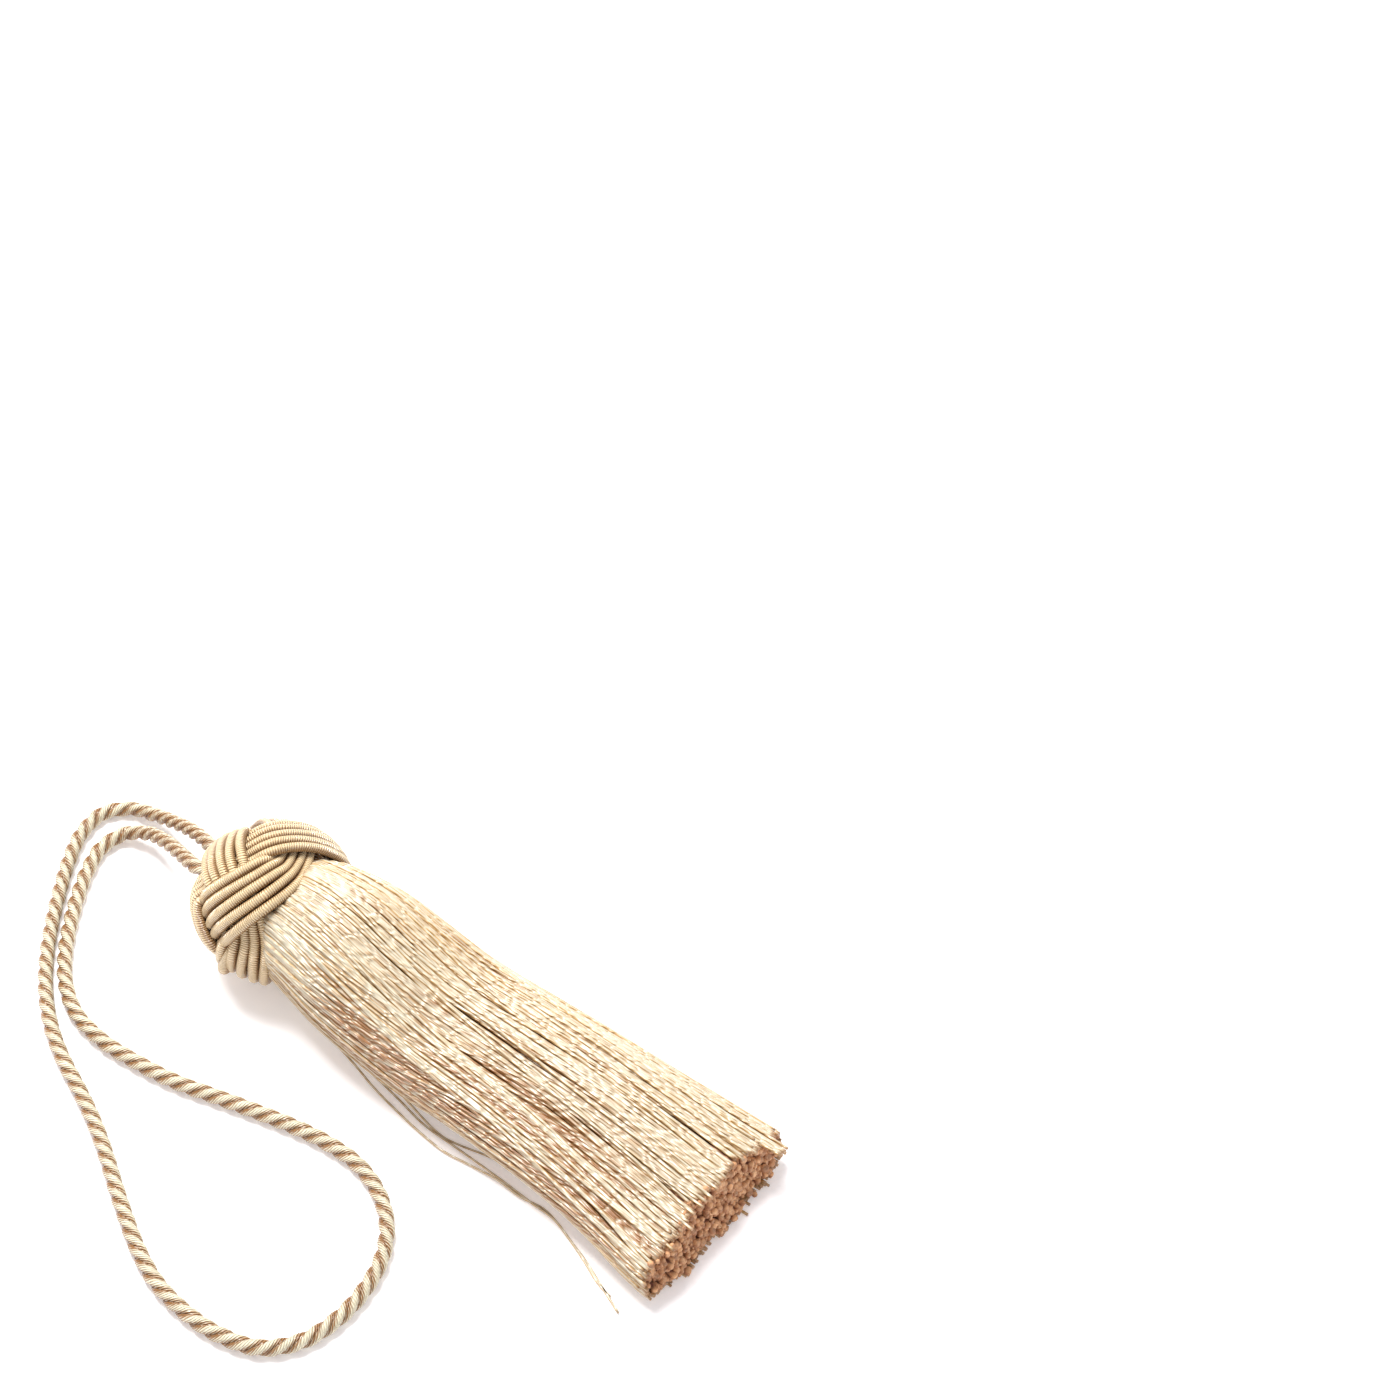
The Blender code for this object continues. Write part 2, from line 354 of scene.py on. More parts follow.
# Finishes

# Yarn colour: how far round a strand its crown's colour reaches before the painted shade between
# strands, how much the strand's own tone and the lines laid round it count (the lines more in the
# painted shade of deep strands), and how brown a cut end is
CROWN_REACH = 0.32
TONE_SHARE = 0.16
SHADE_FLECK = 3.4
CUT_TONE, CUT_BROWN = 0.35, 0.35

# Lay lines: how they wander, in waves for each metre and in turns
WANDER_SCALE, WANDER_DETAIL = 300.0, 1.0
WANDER_TURNS = 2.0


def new_material(name: str) -> tuple[bpy.types.Material, bpy.types.Node]:
    """Makes a material.

    Args:
        name: Its name.

    Returns:
        The material and its shader.
    """
    material = bpy.data.materials.new(name)
    material.use_nodes = True
    return material, material.node_tree.nodes["Principled BSDF"]


def set_inputs(node: bpy.types.Node, values: dict[str, float | Colour]) -> None:
    """Sets a node's own numbers and colours, by the names of their sockets."""
    for name, value in values.items():
        node.inputs[name].default_value = (*value, 1.0) if isinstance(value, tuple) else value


class Wiring:
    """Adds and joins the nodes of one tree."""

    MIX_SHARE, MIX_FIRST, MIX_SECOND, MIX_COLOUR = 0, 6, 7, 2

    def __init__(self, tree: bpy.types.NodeTree) -> None:
        """Keeps the tree that nodes are added to."""
        self.tree = tree

    def add(self, kind: str, **values: float) -> bpy.types.Node:
        """Adds a node.

        Args:
            kind: The node's type name.
            **values: Its sockets' own values.

        Returns:
            The node.
        """
        node = self.tree.nodes.new(kind)
        set_inputs(node, values)
        return node

    def feed(self, target: bpy.types.NodeSocket, value: Feed) -> None:
        """Joins a socket to an input, or sets the input's own number.

        Args:
            target: The input.
            value: The socket or the number.
        """
        if isinstance(value, bpy.types.NodeSocket):
            self.tree.links.new(value, target)
        else:
            target.default_value = value

    def maths(self, operation: str, *values: Feed, clamp: bool = False) -> bpy.types.NodeSocket:
        """Adds a Math node.

        Args:
            operation: What it does.
            *values: Its inputs.
            clamp: Whether the result is kept from 0 to 1.

        Returns:
            Its result.
        """
        node = self.add("ShaderNodeMath")
        node.operation = operation
        node.use_clamp = clamp
        for target, value in zip(node.inputs, values):
            self.feed(target, value)
        return node.outputs[0]

    def ease(self, value: Feed, low: float, high: float) -> bpy.types.NodeSocket:
        """Eases a value.

        Args:
            value: The value.
            low: Where the result is 0.
            high: Where it is 1.

        Returns:
            The eased value.
        """
        node = self.add("ShaderNodeMapRange")
        node.interpolation_type = "SMOOTHSTEP"
        set_inputs(node, {"From Min": low, "From Max": high})
        self.feed(node.inputs["Value"], value)
        return node.outputs[0]

    def mix(self, share: Feed, first: Feed, second: Feed) -> bpy.types.NodeSocket:
        """Adds a mix of two colours.

        Args:
            share: How much of the second.
            first: The first colour.
            second: The second colour.

        Returns:
            The mixed colour.
        """
        node = self.add("ShaderNodeMix")
        node.data_type = "RGBA"
        self.feed(node.inputs[self.MIX_SHARE], share)
        self.feed(node.inputs[self.MIX_FIRST], first)
        self.feed(node.inputs[self.MIX_SECOND], second)
        return node.outputs[self.MIX_COLOUR]

    def noise(self, scale: float, detail: float) -> bpy.types.NodeSocket:
        """Adds a noise on the piece's own coordinates.

        Args:
            scale: Its scale, for each metre.
            detail: Its detail.

        Returns:
            Its value, from 0 to 1.
        """
        place = self.add("ShaderNodeTexCoord")
        node = self.add("ShaderNodeTexNoise", Scale=scale, Detail=detail)
        self.feed(node.inputs["Vector"], place.outputs["Object"])
        return node.outputs[0]

    def value(self, name: str) -> bpy.types.NodeSocket:
        """Reads a named value of the mesh.

        Args:
            name: The value's name.

        Returns:
            The value.
        """
        node = self.add("ShaderNodeAttribute")
        node.attribute_name = name
        return node.outputs["Fac"]


class Effect(Enum):
    """Shader node groups that several finishes share."""

    COLOUR = "yarn_colour"
    LAY = "lay_lines"

    def group(self) -> bpy.types.NodeTree:
        """Finds the group, or makes it on first use.

        Returns:
            The group.
        """
        found = bpy.data.node_groups.get(self.value)
        if found:
            return found
        return self._yarn_colour() if self is Effect.COLOUR else self._lay_lines()

    def _empty(self, colours: tuple[str, ...], numbers: tuple[str, ...],
               result: str) -> bpy.types.NodeTree:
        """A new group.

        Args:
            colours: Its colour inputs.
            numbers: Its number inputs.
            result: Its output, a colour where it takes colours.

        Returns:
            The group.
        """
        tree = bpy.data.node_groups.new(self.value, "ShaderNodeTree")
        kinds = [(name, "NodeSocketColor") for name in colours]
        kinds += [(name, "NodeSocketFloat") for name in numbers]
        for name, kind in kinds:
            tree.interface.new_socket(name, in_out="INPUT", socket_type=kind)
        kind = "NodeSocketColor" if colours else "NodeSocketFloat"
        tree.interface.new_socket(result, in_out="OUTPUT", socket_type=kind)
        return tree

    def _yarn_colour(self) -> bpy.types.NodeTree:
        """Lustrous yarn: pale on the crown, painted shade between strands and on strands lying deep.

        Returns:
            The group.
        """
        tree = self._empty(("Crown", "Hollow", "DeepShade", "Cut"),
                           ("Facing", "Lay", "Fleck", "Tone", "Depth", "Frayed"), "Color")
        wires = Wiring(tree)
        given = wires.add("NodeGroupInput").outputs
        out = wires.add("NodeGroupOutput")
        # painted shade: towards the hollow colour as the surface turns from the strand's outer side
        turned = wires.maths("MULTIPLY_ADD", given["Facing"], -0.5, 0.5)
        toned = wires.maths("MULTIPLY_ADD", given["Tone"], TONE_SHARE,
                            wires.ease(turned, 0.0, CROWN_REACH))
        # the lines laid round the strand add painted glints and shade
        flecked = wires.maths("MULTIPLY", given["Lay"], given["Fleck"])
        hollow = wires.maths("ADD", toned, flecked, clamp=True)
        yarn = wires.mix(hollow, given["Crown"], given["Hollow"])
        # painted shade on strands that lie deep, darker along the lines laid round them
        lined = wires.maths("MULTIPLY_ADD", flecked, SHADE_FLECK, 1.0)
        shaded = wires.maths("MULTIPLY", given["Depth"], lined, clamp=True)
        deep_shade = wires.mix(shaded, yarn, given["DeepShade"])
        burnt = wires.maths("MULTIPLY_ADD", given["Tone"], CUT_TONE, CUT_BROWN, clamp=True)
        cut = wires.mix(burnt, given["Cut"], given["DeepShade"])
        wires.feed(out.inputs["Color"], wires.mix(given["Frayed"], deep_shade, cut))
        return tree

    def _lay_lines(self) -> bpy.types.NodeTree:
        """Height of the plies or fibres that turn round a strand as they run along it.

        Returns:
            The group.
        """
        tree = self._empty((), ("Facing", "Side", "Along", "Lines", "Pitch"), "Height")
        wires = Wiring(tree)
        given = wires.add("NodeGroupInput").outputs
        out = wires.add("NodeGroupOutput")
        angle = wires.maths("ARCTAN2", given["Side"], given["Facing"])
        turns = wires.maths("DIVIDE", given["Along"], given["Pitch"])
        wandering = wires.maths("MULTIPLY_ADD", wires.noise(WANDER_SCALE, WANDER_DETAIL),
                                WANDER_TURNS, turns)
        phase = wires.maths("MULTIPLY_ADD", angle, given["Lines"],
                            wires.maths("MULTIPLY", wandering, TURN))
        wires.feed(out.inputs["Height"], wires.maths("SINE", phase))
        return tree


@dataclass(frozen=True)
class YarnFinish:
    """Finish of a silky yarn: colours, painted shade, shine and the lines laid round it."""

    name: str
    crown: Colour
    hollow: Colour
    deep_shade: Colour
    cut: Colour
    roughness: float
    lines: int
    pitch: float
    relief: float
    fleck: float
    shine: float = 1.0

    def material(self) -> bpy.types.Material:
        """Finds the finish's material, or makes it on first use.

        Returns:
            The material.
        """
        found = bpy.data.materials.get(self.name)
        if found:
            return found
        material, shader = new_material(self.name)
        wires = Wiring(material.node_tree)
        lay = wires.add("ShaderNodeGroup")
        lay.node_tree = Effect.LAY.group()
        for socket in ("Facing", "Side", "Along"):
            wires.feed(lay.inputs[socket], wires.value(socket.lower()))
        set_inputs(lay, {"Lines": self.lines, "Pitch": self.pitch})
        colour = wires.add("ShaderNodeGroup")
        colour.node_tree = Effect.COLOUR.group()
        set_inputs(colour, {"Crown": self.crown, "Hollow": self.hollow, "DeepShade": self.deep_shade,
                            "Cut": self.cut, "Fleck": self.fleck})
        for socket in ("Facing", "Tone", "Depth", "Frayed"):
            wires.feed(colour.inputs[socket], wires.value(socket.lower()))
        wires.feed(colour.inputs["Lay"], lay.outputs["Height"])
        wires.feed(shader.inputs["Base Color"], colour.outputs["Color"])
        bump = wires.add("ShaderNodeBump", Strength=1.0, Distance=self.relief)
        wires.feed(bump.inputs["Height"], lay.outputs["Height"])
        wires.feed(shader.inputs["Normal"], bump.outputs["Normal"])
        set_inputs(shader, {"Roughness": self.roughness, "Specular IOR Level": self.shine})
        return material


# Each finish's crown is the yarn's colour on a strand's outer side; its hollow is painted shade
# between strands, and its third colour painted shade on strands lying deep, which cut ends are also
# drawn towards; its cut colour is that of cut ends
THREAD_FINISH = YarnFinish(
    "skirt_thread_silk", crown=(0.635, 0.57, 0.43), hollow=(0.54, 0.325, 0.115),
    deep_shade=(0.32, 0.14, 0.042), cut=(0.64, 0.38, 0.20), roughness=0.34,
    lines=2, pitch=3.2 * MM, relief=0.06 * MM, fleck=0.20)
CUT_FINISH = YarnFinish(
    "cut_thread_silk", crown=(0.72, 0.37, 0.17), hollow=(0.36, 0.14, 0.05),
    deep_shade=(0.17, 0.05, 0.022), cut=(0.78, 0.44, 0.22), roughness=0.8,
    lines=2, pitch=2.0 * MM, relief=0.05 * MM, fleck=0.20)
GIMP_FINISH = YarnFinish(
    "gimp_silk", crown=(0.90, 0.69, 0.40), hollow=(0.34, 0.17, 0.065),
    deep_shade=(0.16, 0.06, 0.025), cut=(0.66, 0.44, 0.24), roughness=0.22,
    lines=1, pitch=0.45 * MM, relief=0.12 * MM, fleck=0.55)
CORD_FINISH = YarnFinish(
    "laid_cord_silk", crown=(0.95, 0.87, 0.64), hollow=(0.36, 0.17, 0.06),
    deep_shade=(0.16, 0.06, 0.025), cut=(0.55, 0.35, 0.18), roughness=0.26,
    lines=9, pitch=1.05 * MM, relief=0.12 * MM, fleck=0.42)


class Dresser:
    """Gives finished pieces their finish, body and node, and counts them."""

    def __init__(self) -> None:
        """Starts with no pieces."""
        self.count = 0

    def dress(self, piece: bpy.types.Object, finish: YarnFinish, node: Node) -> None:
        """Finishes one piece.

        Args:
            piece: The piece.
            finish: Its finish.
            node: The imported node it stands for.
        """
        piece.data.materials.clear()
        piece.data.materials.append(finish.material())
        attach(piece, BODY)
        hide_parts(node.value)
        self.count += 1
        LOG.info("%s: %d faces, for %s", piece.name, len(piece.data.polygons), node.value)


# Head knot


@dataclass(frozen=True)
class KnotForm:
    """Form of the knot: a band of five gimp strands plaited round a barrel, over and under."""

    barrel_shift: float = 3.0 * MM
    barrel_half: float = 15.2 * MM
    barrel_radius: float = 14.3 * MM
    barrel_arc: float = 14.7 * MM
    strands: int = 5
    spacing: float = 1.93 * MM
    leads: int = 3
    bights: int = 4
    swing: float = 8.3 * MM
    swing_mid: float = -1.0 * MM
    lift: float = 1.1 * MM
    lift_steepness: float = 2.0
    phase: float = math.radians(2.0)
    spreads: Rows = (
        # where along the band, in degrees; how far its strands spread there
        (0.0, 1.0), (15.0, 0.97), (45.0, 1.05), (135.0, 1.08), (150.0, 1.05), (175.0, 1.12),
        (190.0, 1.1), (215.0, 1.0), (250.0, 0.96), (265.0, 0.88), (278.0, 1.04), (290.0, 1.2),
        (308.0, 1.08), (340.0, 1.0))
    shear: float = math.radians(26.0)
    warp: float = math.radians(10.0)
    warp_at: float = math.radians(20.0)
    wobble: float = 0.15 * MM
    # waves along the band; shift from one strand to the next, in radians
    wobbles: Rows = ((11.0, 2.4), (5.0, 1.1))

    def reach(self, arc: Array) -> Array:
        """Radius of the barrel at an arc along the axis."""
        return self.barrel_radius * np.cos((arc - self.barrel_shift) / self.barrel_arc)

    def on_barrel(self, arc: Array, turn: Array, lift: Array) -> tuple[Array, Array]:
        """Points on the barrel and its outward direction there.

        Args:
            arc: Arc along the axis.
            turn: Turn about the axis.
            lift: Height off the surface.

        Returns:
            The points and the outward directions.
        """
        q = (arc - self.barrel_shift) / self.barrel_arc
        slope = unit(np.stack([np.sin(q) / self.barrel_half, np.cos(q) / self.barrel_radius], -1))
        out = np.stack([slope[:, 0], slope[:, 1] * np.cos(turn), slope[:, 1] * np.sin(turn)], -1)
        reach = self.reach(arc)
        along = self.barrel_shift + self.barrel_half * np.sin(q)
        centre = np.stack([HEAD_X + along, reach * np.cos(turn), HEAD_Z + reach * np.sin(turn)], -1)
        return centre + lift[:, None] * out, out

    def course(self, s: Array) -> tuple[Array, Array, Array]:
        """Middle of the band.

        Args:
            s: Where along the band, one turn for all of it.

        Returns:
            Arc along the axis, turn about it and lift off the barrel.
        """
        arc = self.swing_mid + self.swing * np.cos(self.bights * s)
        turn = self.phase + self.leads * s + self.shear * (1 - np.cos(self.bights * s)) / 2
        turn = turn + self.warp * np.cos(turn - self.warp_at)
        lift = self.lift * np.tanh(self.lift_steepness * np.sin(2 * self.bights * s))
        return arc, turn, lift

    def spread(self, s: Array) -> Array:
        """How far the strands spread, and how full they lie, along the band."""
        at, factor = zip(*self.spreads)
        return np.interp(np.degrees(s), at, factor, period=360.0)

    def strand(self, number: int, count: int, wobble: float = 0.0) -> tuple[Array, Array]:
        """Centre line of one strand of the band, and its outward directions.

        Args:
            number: Which strand, from 0.
            count: How many points.
            wobble: How far it strays from its place, in turn with the others.

        Returns:
            The points and the outward directions.
        """
        s = np.arange(count) * TURN / count
        arc, turn, lift = self.course(s)
        nudge = TURN / count
        before, after = self.course(s - nudge), self.course(s + nudge)
        reach = self.reach(arc)
        course = unit(np.stack([after[0] - before[0], reach * (after[1] - before[1])], -1))
        offset = (number - (self.strands - 1) / 2) * self.spacing * self.spread(s)
        stray = wobble
        for waves, shift in self.wobbles:
            stray = stray * np.sin(waves * s + shift * number)
        offset = offset + stray
        side_arc = arc - offset * course[:, 1]
        side_turn = turn + offset * course[:, 0] / ((reach + self.reach(side_arc)) / 2)
        return self.on_barrel(side_arc, side_turn, lift)

    def skirt_edge(self, strand_radius: float, bins: int = 120, count: int = 1440,
                   blur: int = 2) -> Array:
        """How far the knot reaches towards the skirt, from the head's middle, all the way round.

        Args:
            strand_radius: Radius of the gimp.
            bins: How many directions round the axis.
            count: How many points are taken on each strand.
            blur: Over how many neighbours on each side the reach is evened out.

        Returns:
            The reach by direction, first along +Y.
        """
        edge = np.full(bins, -np.inf)
        for number in range(self.strands):
            path, _ = self.strand(number, count)
            turn = np.arctan2(path[:, 2] - HEAD_Z, path[:, 1]) % TURN
            np.maximum.at(edge, (turn / TURN * bins).astype(int) % bins,
                          path[:, 0] - HEAD_X + strand_radius)
        return np.mean([np.roll(edge, k) for k in range(-blur, blur + 1)], axis=0)


@dataclass
class HeadKnot:
    """The knot: gimp strands, their cut end, and the bound top of the skirt inside them."""

    form: KnotForm
    gimp_radius: float = 0.98 * MM
    rings: int = 420
    sides: int = 10
    # how much the strands differ in tone, and how far apart neighbours are in it
    tone: float = 0.5
    tone_step: float = 3.0
    tip: Rows = (
        # arc, turn in degrees, lift, radius; the others in millimetres
        (5.4, 168.0, -0.6, 0.80), (4.4, 178.0, 0.3, 0.85), (3.6, 186.0, 0.9, 0.92),
        (3.1, 193.0, 1.4, 1.15), (2.8, 198.5, 1.9, 1.30), (2.6, 202.5, 2.2, 1.15),
        (2.5, 204.0, 2.3, 0.80))
    tip_rings: int = 15
    tip_sides: int = 12
    tip_frayed: int = 2
    core_rows: Rows = (
        # along the axis from the head's middle, radius; millimetres
        (-8.5, 0.0), (-8.5, 4.9), (-7.4, 6.2), (-4.0, 9.0), (0.0, 10.2), (6.0, 10.3), (9.0, 9.6))
    core_steps: int = 96
    core_shade: float = 0.45
    core_winding: float = 4.5
    weld: float = 0.01 * MM

    def build(self, dresser: Dresser) -> None:
        """Makes and dresses the knot's pieces.

        Args:
            dresser: What dresses them.
        """
        dresser.dress(self.gimp(), GIMP_FINISH, Node.KNOT)
        dresser.dress(self.cut_end(), GIMP_FINISH, Node.KNOT)
        dresser.dress(self.bound_top(), THREAD_FINISH, Node.SKIRT)

    def gimp(self) -> bpy.types.Object:
        """The plaited gimp strands.

        Returns:
            The piece.
        """
        tube = Tube(self.rings, self.sides, closed=True)
        radius = self.gimp_radius * self.form.spread(np.arange(self.rings) * TURN / self.rings)
        strands = []
        for number in range(self.form.strands):
            path, out = self.form.strand(number, self.rings, self.form.wobble)
            path[:, 2] = np.maximum(path[:, 2], radius)
            tone = self.tone * math.sin(self.tone_step * number)
            strands.append(Strand(path, out, radius, tone=tone))
        return bundle("gimp_strands", tube, strands)

    def cut_end(self) -> bpy.types.Object:
        """The gimp's cut end, tucked in at the side, thicker where it has loosened.

        Returns:
            The piece.
        """
        rows, rings = np.array(self.tip), self.tip_rings
        path, out = self.form.on_barrel(rows[:, 0] * MM, np.radians(rows[:, 1]), rows[:, 2] * MM)
        marks = run_along(path)
        stops = np.linspace(0.0, marks[-1], rings)
        path, out = smooth_points(marks, path, stops), smooth_points(marks, out, stops)
        radius = smooth_rows(marks, rows[:, 3] * MM, stops)
        frayed = smooth_step((np.arange(rings) - rings + 1 + self.tip_frayed) / self.tip_frayed)
        strand = Strand(path, out, radius, frayed=frayed)
        return bundle("gimp_cut_end", Tube(rings, self.tip_sides), [strand])

    def bound_top(self) -> bpy.types.Object:
        """The bound top of the skirt, turned on the axis, which shows between the strands.

        Returns:
            The piece.
        """
        bm = bmesh.new()
        verts = [bm.verts.new((HEAD_X + x * MM, 0.0, HEAD_Z + r * MM)) for x, r in self.core_rows]
        edges = [bm.edges.new(pair) for pair in zip(verts, verts[1:])]
        bmesh.ops.spin(bm, geom=[*verts, *edges], cent=(HEAD_X, 0.0, HEAD_Z), axis=(1, 0, 0),
                       angle=TURN, steps=self.core_steps, use_merge=True)
        bmesh.ops.remove_doubles(bm, verts=bm.verts, dist=self.weld)
        bmesh.ops.contextual_create(bm, geom=[e for e in bm.edges if e.is_boundary])
        bmesh.ops.recalc_face_normals(bm, faces=bm.faces)
        mesh = mesh_from(bm, "bound_top")
        points = read_points(mesh)
        run = np.hypot(points[:, 1], points[:, 2] - HEAD_Z) - points[:, 0]
        # painted shade where the bound top shows between the strands
        write_values(mesh, {"depth": np.full(len(points), self.core_shade),
                            "along": self.core_winding * run,
                            "facing": np.full(len(points), 1.0)})
        mesh.shade_smooth()
        return link(mesh)


# Skirt


@dataclass
class SkirtForm:
    """Outer form of the skirt: gripped by the knot, and sinking to lie level near the cut end."""

    # how far the knot reaches towards the skirt, by direction
    edge: Array
    sections: Rows = (
        # x from head, half width, half height, middle sideways, middle's height; millimetres
        (4.0, 12.0, 12.0, 0.0, 15.6),
        (9.0, 12.8, 12.8, 0.0, 15.6),
        (12.0, 13.3, 13.2, 0.1, 15.5),
        (18.0, 14.5, 14.0, 0.2, 14.9),
        (25.0, 15.7, 14.0, 0.1, 13.9),
        (34.0, 16.4, 12.3, 0.0, 12.2),
        (45.0, 16.8, 10.2, 0.2, 10.1),
        (60.0, 17.3, 9.0, 0.8, 8.9),
        (78.0, 18.1, 8.0, 1.2, 7.9),
        (94.0, 19.3, 7.1, 0.8, 7.0),
        (107.0, 20.6, 6.4, 0.0, 6.3),
        (116.0, 21.2, 6.0, -0.2, 5.9))
    length: float = 111.4 * MM
    setback: float = 2.6 * MM
    # waves of the cut edge: size in millimetres, radians across and up, shift
    end_waves: Rows = ((0.5, 9.0, 0.0, 0.6), (0.35, 23.0, 5.0, 0.0))
    grip_radius: float = 12.0 * MM
    grip_lead: float = 2.2 * MM
    grip_run: float = 3.0 * MM
    lying_from: float = 85.0 * MM
    lying_over: float = 27.0 * MM
    # power of the flat under side's outline; least square of the disc's half height
    lying_power: int = 4
    least_height: float = 0.04
    # the grid that the surface is read from, and how far short of its far edges that stops
    stations: int = 240
    shares: int = 480
    short: float = 0.001

    def __post_init__(self) -> None:
        """Works out the surface and its outward directions on a grid."""
        self.rows = np.array(self.sections) * MM
        self.xs = np.linspace(self.rows[0, 0], self.rows[-1, 0], self.stations)
        turn = np.linspace(-math.pi / 2, 1.5 * math.pi, 4 * self.shares)
        shares = np.linspace(0.0, 1.0, self.shares + 1)
        self.y, self.z = (np.empty((self.stations, self.shares + 1)) for _ in range(2))
        self.girth = np.empty(self.stations)
        for k, x in enumerate(self.xs):
            y, z = self.inside(np.full(len(turn), x), np.cos(turn), np.sin(turn))
            run = run_along(np.stack([y, z], -1))
            self.girth[k] = run[-1]
            self.y[k] = np.interp(shares, run / run[-1], y)
            self.z[k] = np.interp(shares, run / run[-1], z)
        dy, dz = np.gradient(self.y, axis=1), np.gradient(self.z, axis=1)
        size = np.hypot(dy, dz)
        self.out_y, self.out_z = dz / size, -dy / size

    def inside(self, x: Array, across: Array, up: Array) -> tuple[Array, Array]:
        """Place in the section at x of a point of the unit disc.

        Args:
            x: Distance from the head.
            across: Sideways in the disc.
            up: Upwards in the disc.

        Returns:
            Sideways place and height.
        """
        half_w, half_h, mid_y, mid_z = (smooth_rows(self.rows[:, 0], column, x)
                                        for column in self.rows.T[1:])
        lying = smooth_step((x - self.lying_from) / self.lying_over)
        round_edge = np.sqrt(np.maximum(1.0 - across**2, self.least_height))
        flat_edge = np.maximum(1.0 - across**self.lying_power, 0.0)
        flat_edge = flat_edge**(1.0 / self.lying_power)
        lower = up * (1.0 + lying * (np.maximum(flat_edge, round_edge) / round_edge - 1.0))
        return mid_y + half_w * across, mid_z + half_h * np.where(up < 0, lower, up)

    def end(self, across: float, up: float) -> float:
        """Distance from the head at which a point of the disc is cut off, a little unevenly.

        Args:
            across: Sideways in the disc.
            up: Upwards in the disc.

        Returns:
            The distance.
        """
        uneven = sum(size * math.sin(sideways * across + upwards * up + shift)
                     for size, sideways, upwards, shift in self.end_waves)
        return self.length - self.setback * (1.0 + up) / 2 + uneven * MM

    def place(self, x: Array, share: Array, depth: Array) -> tuple[Array, Array, Array]:
        """Places on the form, or under it.

        Args:
            x: Distance from the head.
            share: Share of the way round, from the middle of the under side over +Y.
            depth: How far under the surface.

        Returns:
            The points, the outward directions, and how far each is free of the knot's grip.
        """
        row = (x - self.xs[0]) / (self.xs[1] - self.xs[0])
        row = np.clip(row, 0, self.stations - 1 - self.short)
        col = (share % 1.0) * (self.shares - self.short)
        i, j = row.astype(int), col.astype(int)
        t, w = row - i, col - j

        def read(table: Array) -> Array:
            """Reads one table between its rows and columns."""
            return ((1 - t) * ((1 - w) * table[i, j] + w * table[i, j + 1])
                    + t * ((1 - w) * table[i + 1, j] + w * table[i + 1, j + 1]))

        out_y, out_z = read(self.out_y), read(self.out_z)
        y, z = read(self.y) - depth * out_y, read(self.z) - depth * out_z - HEAD_Z
        reach, turn = np.hypot(y, z), np.arctan2(z, y) % TURN
        bins = len(self.edge)
        edge = np.interp(turn / TURN * bins, np.arange(bins) + 0.5, self.edge, period=bins)
        free = smooth_step((x - edge + self.grip_lead) / self.grip_run)
        gripped = np.minimum(reach, self.grip_radius - depth)
        scale = (gripped + free * (reach - gripped)) / reach
        points = np.stack([HEAD_X + x, y * scale, HEAD_Z + z * scale], -1)
        return points, np.stack([np.zeros_like(x), out_y, out_z], -1), free

    def girth_at(self, x: Array) -> Array:
        """Length of the way round at x."""
        return np.interp(x, self.xs, self.girth)


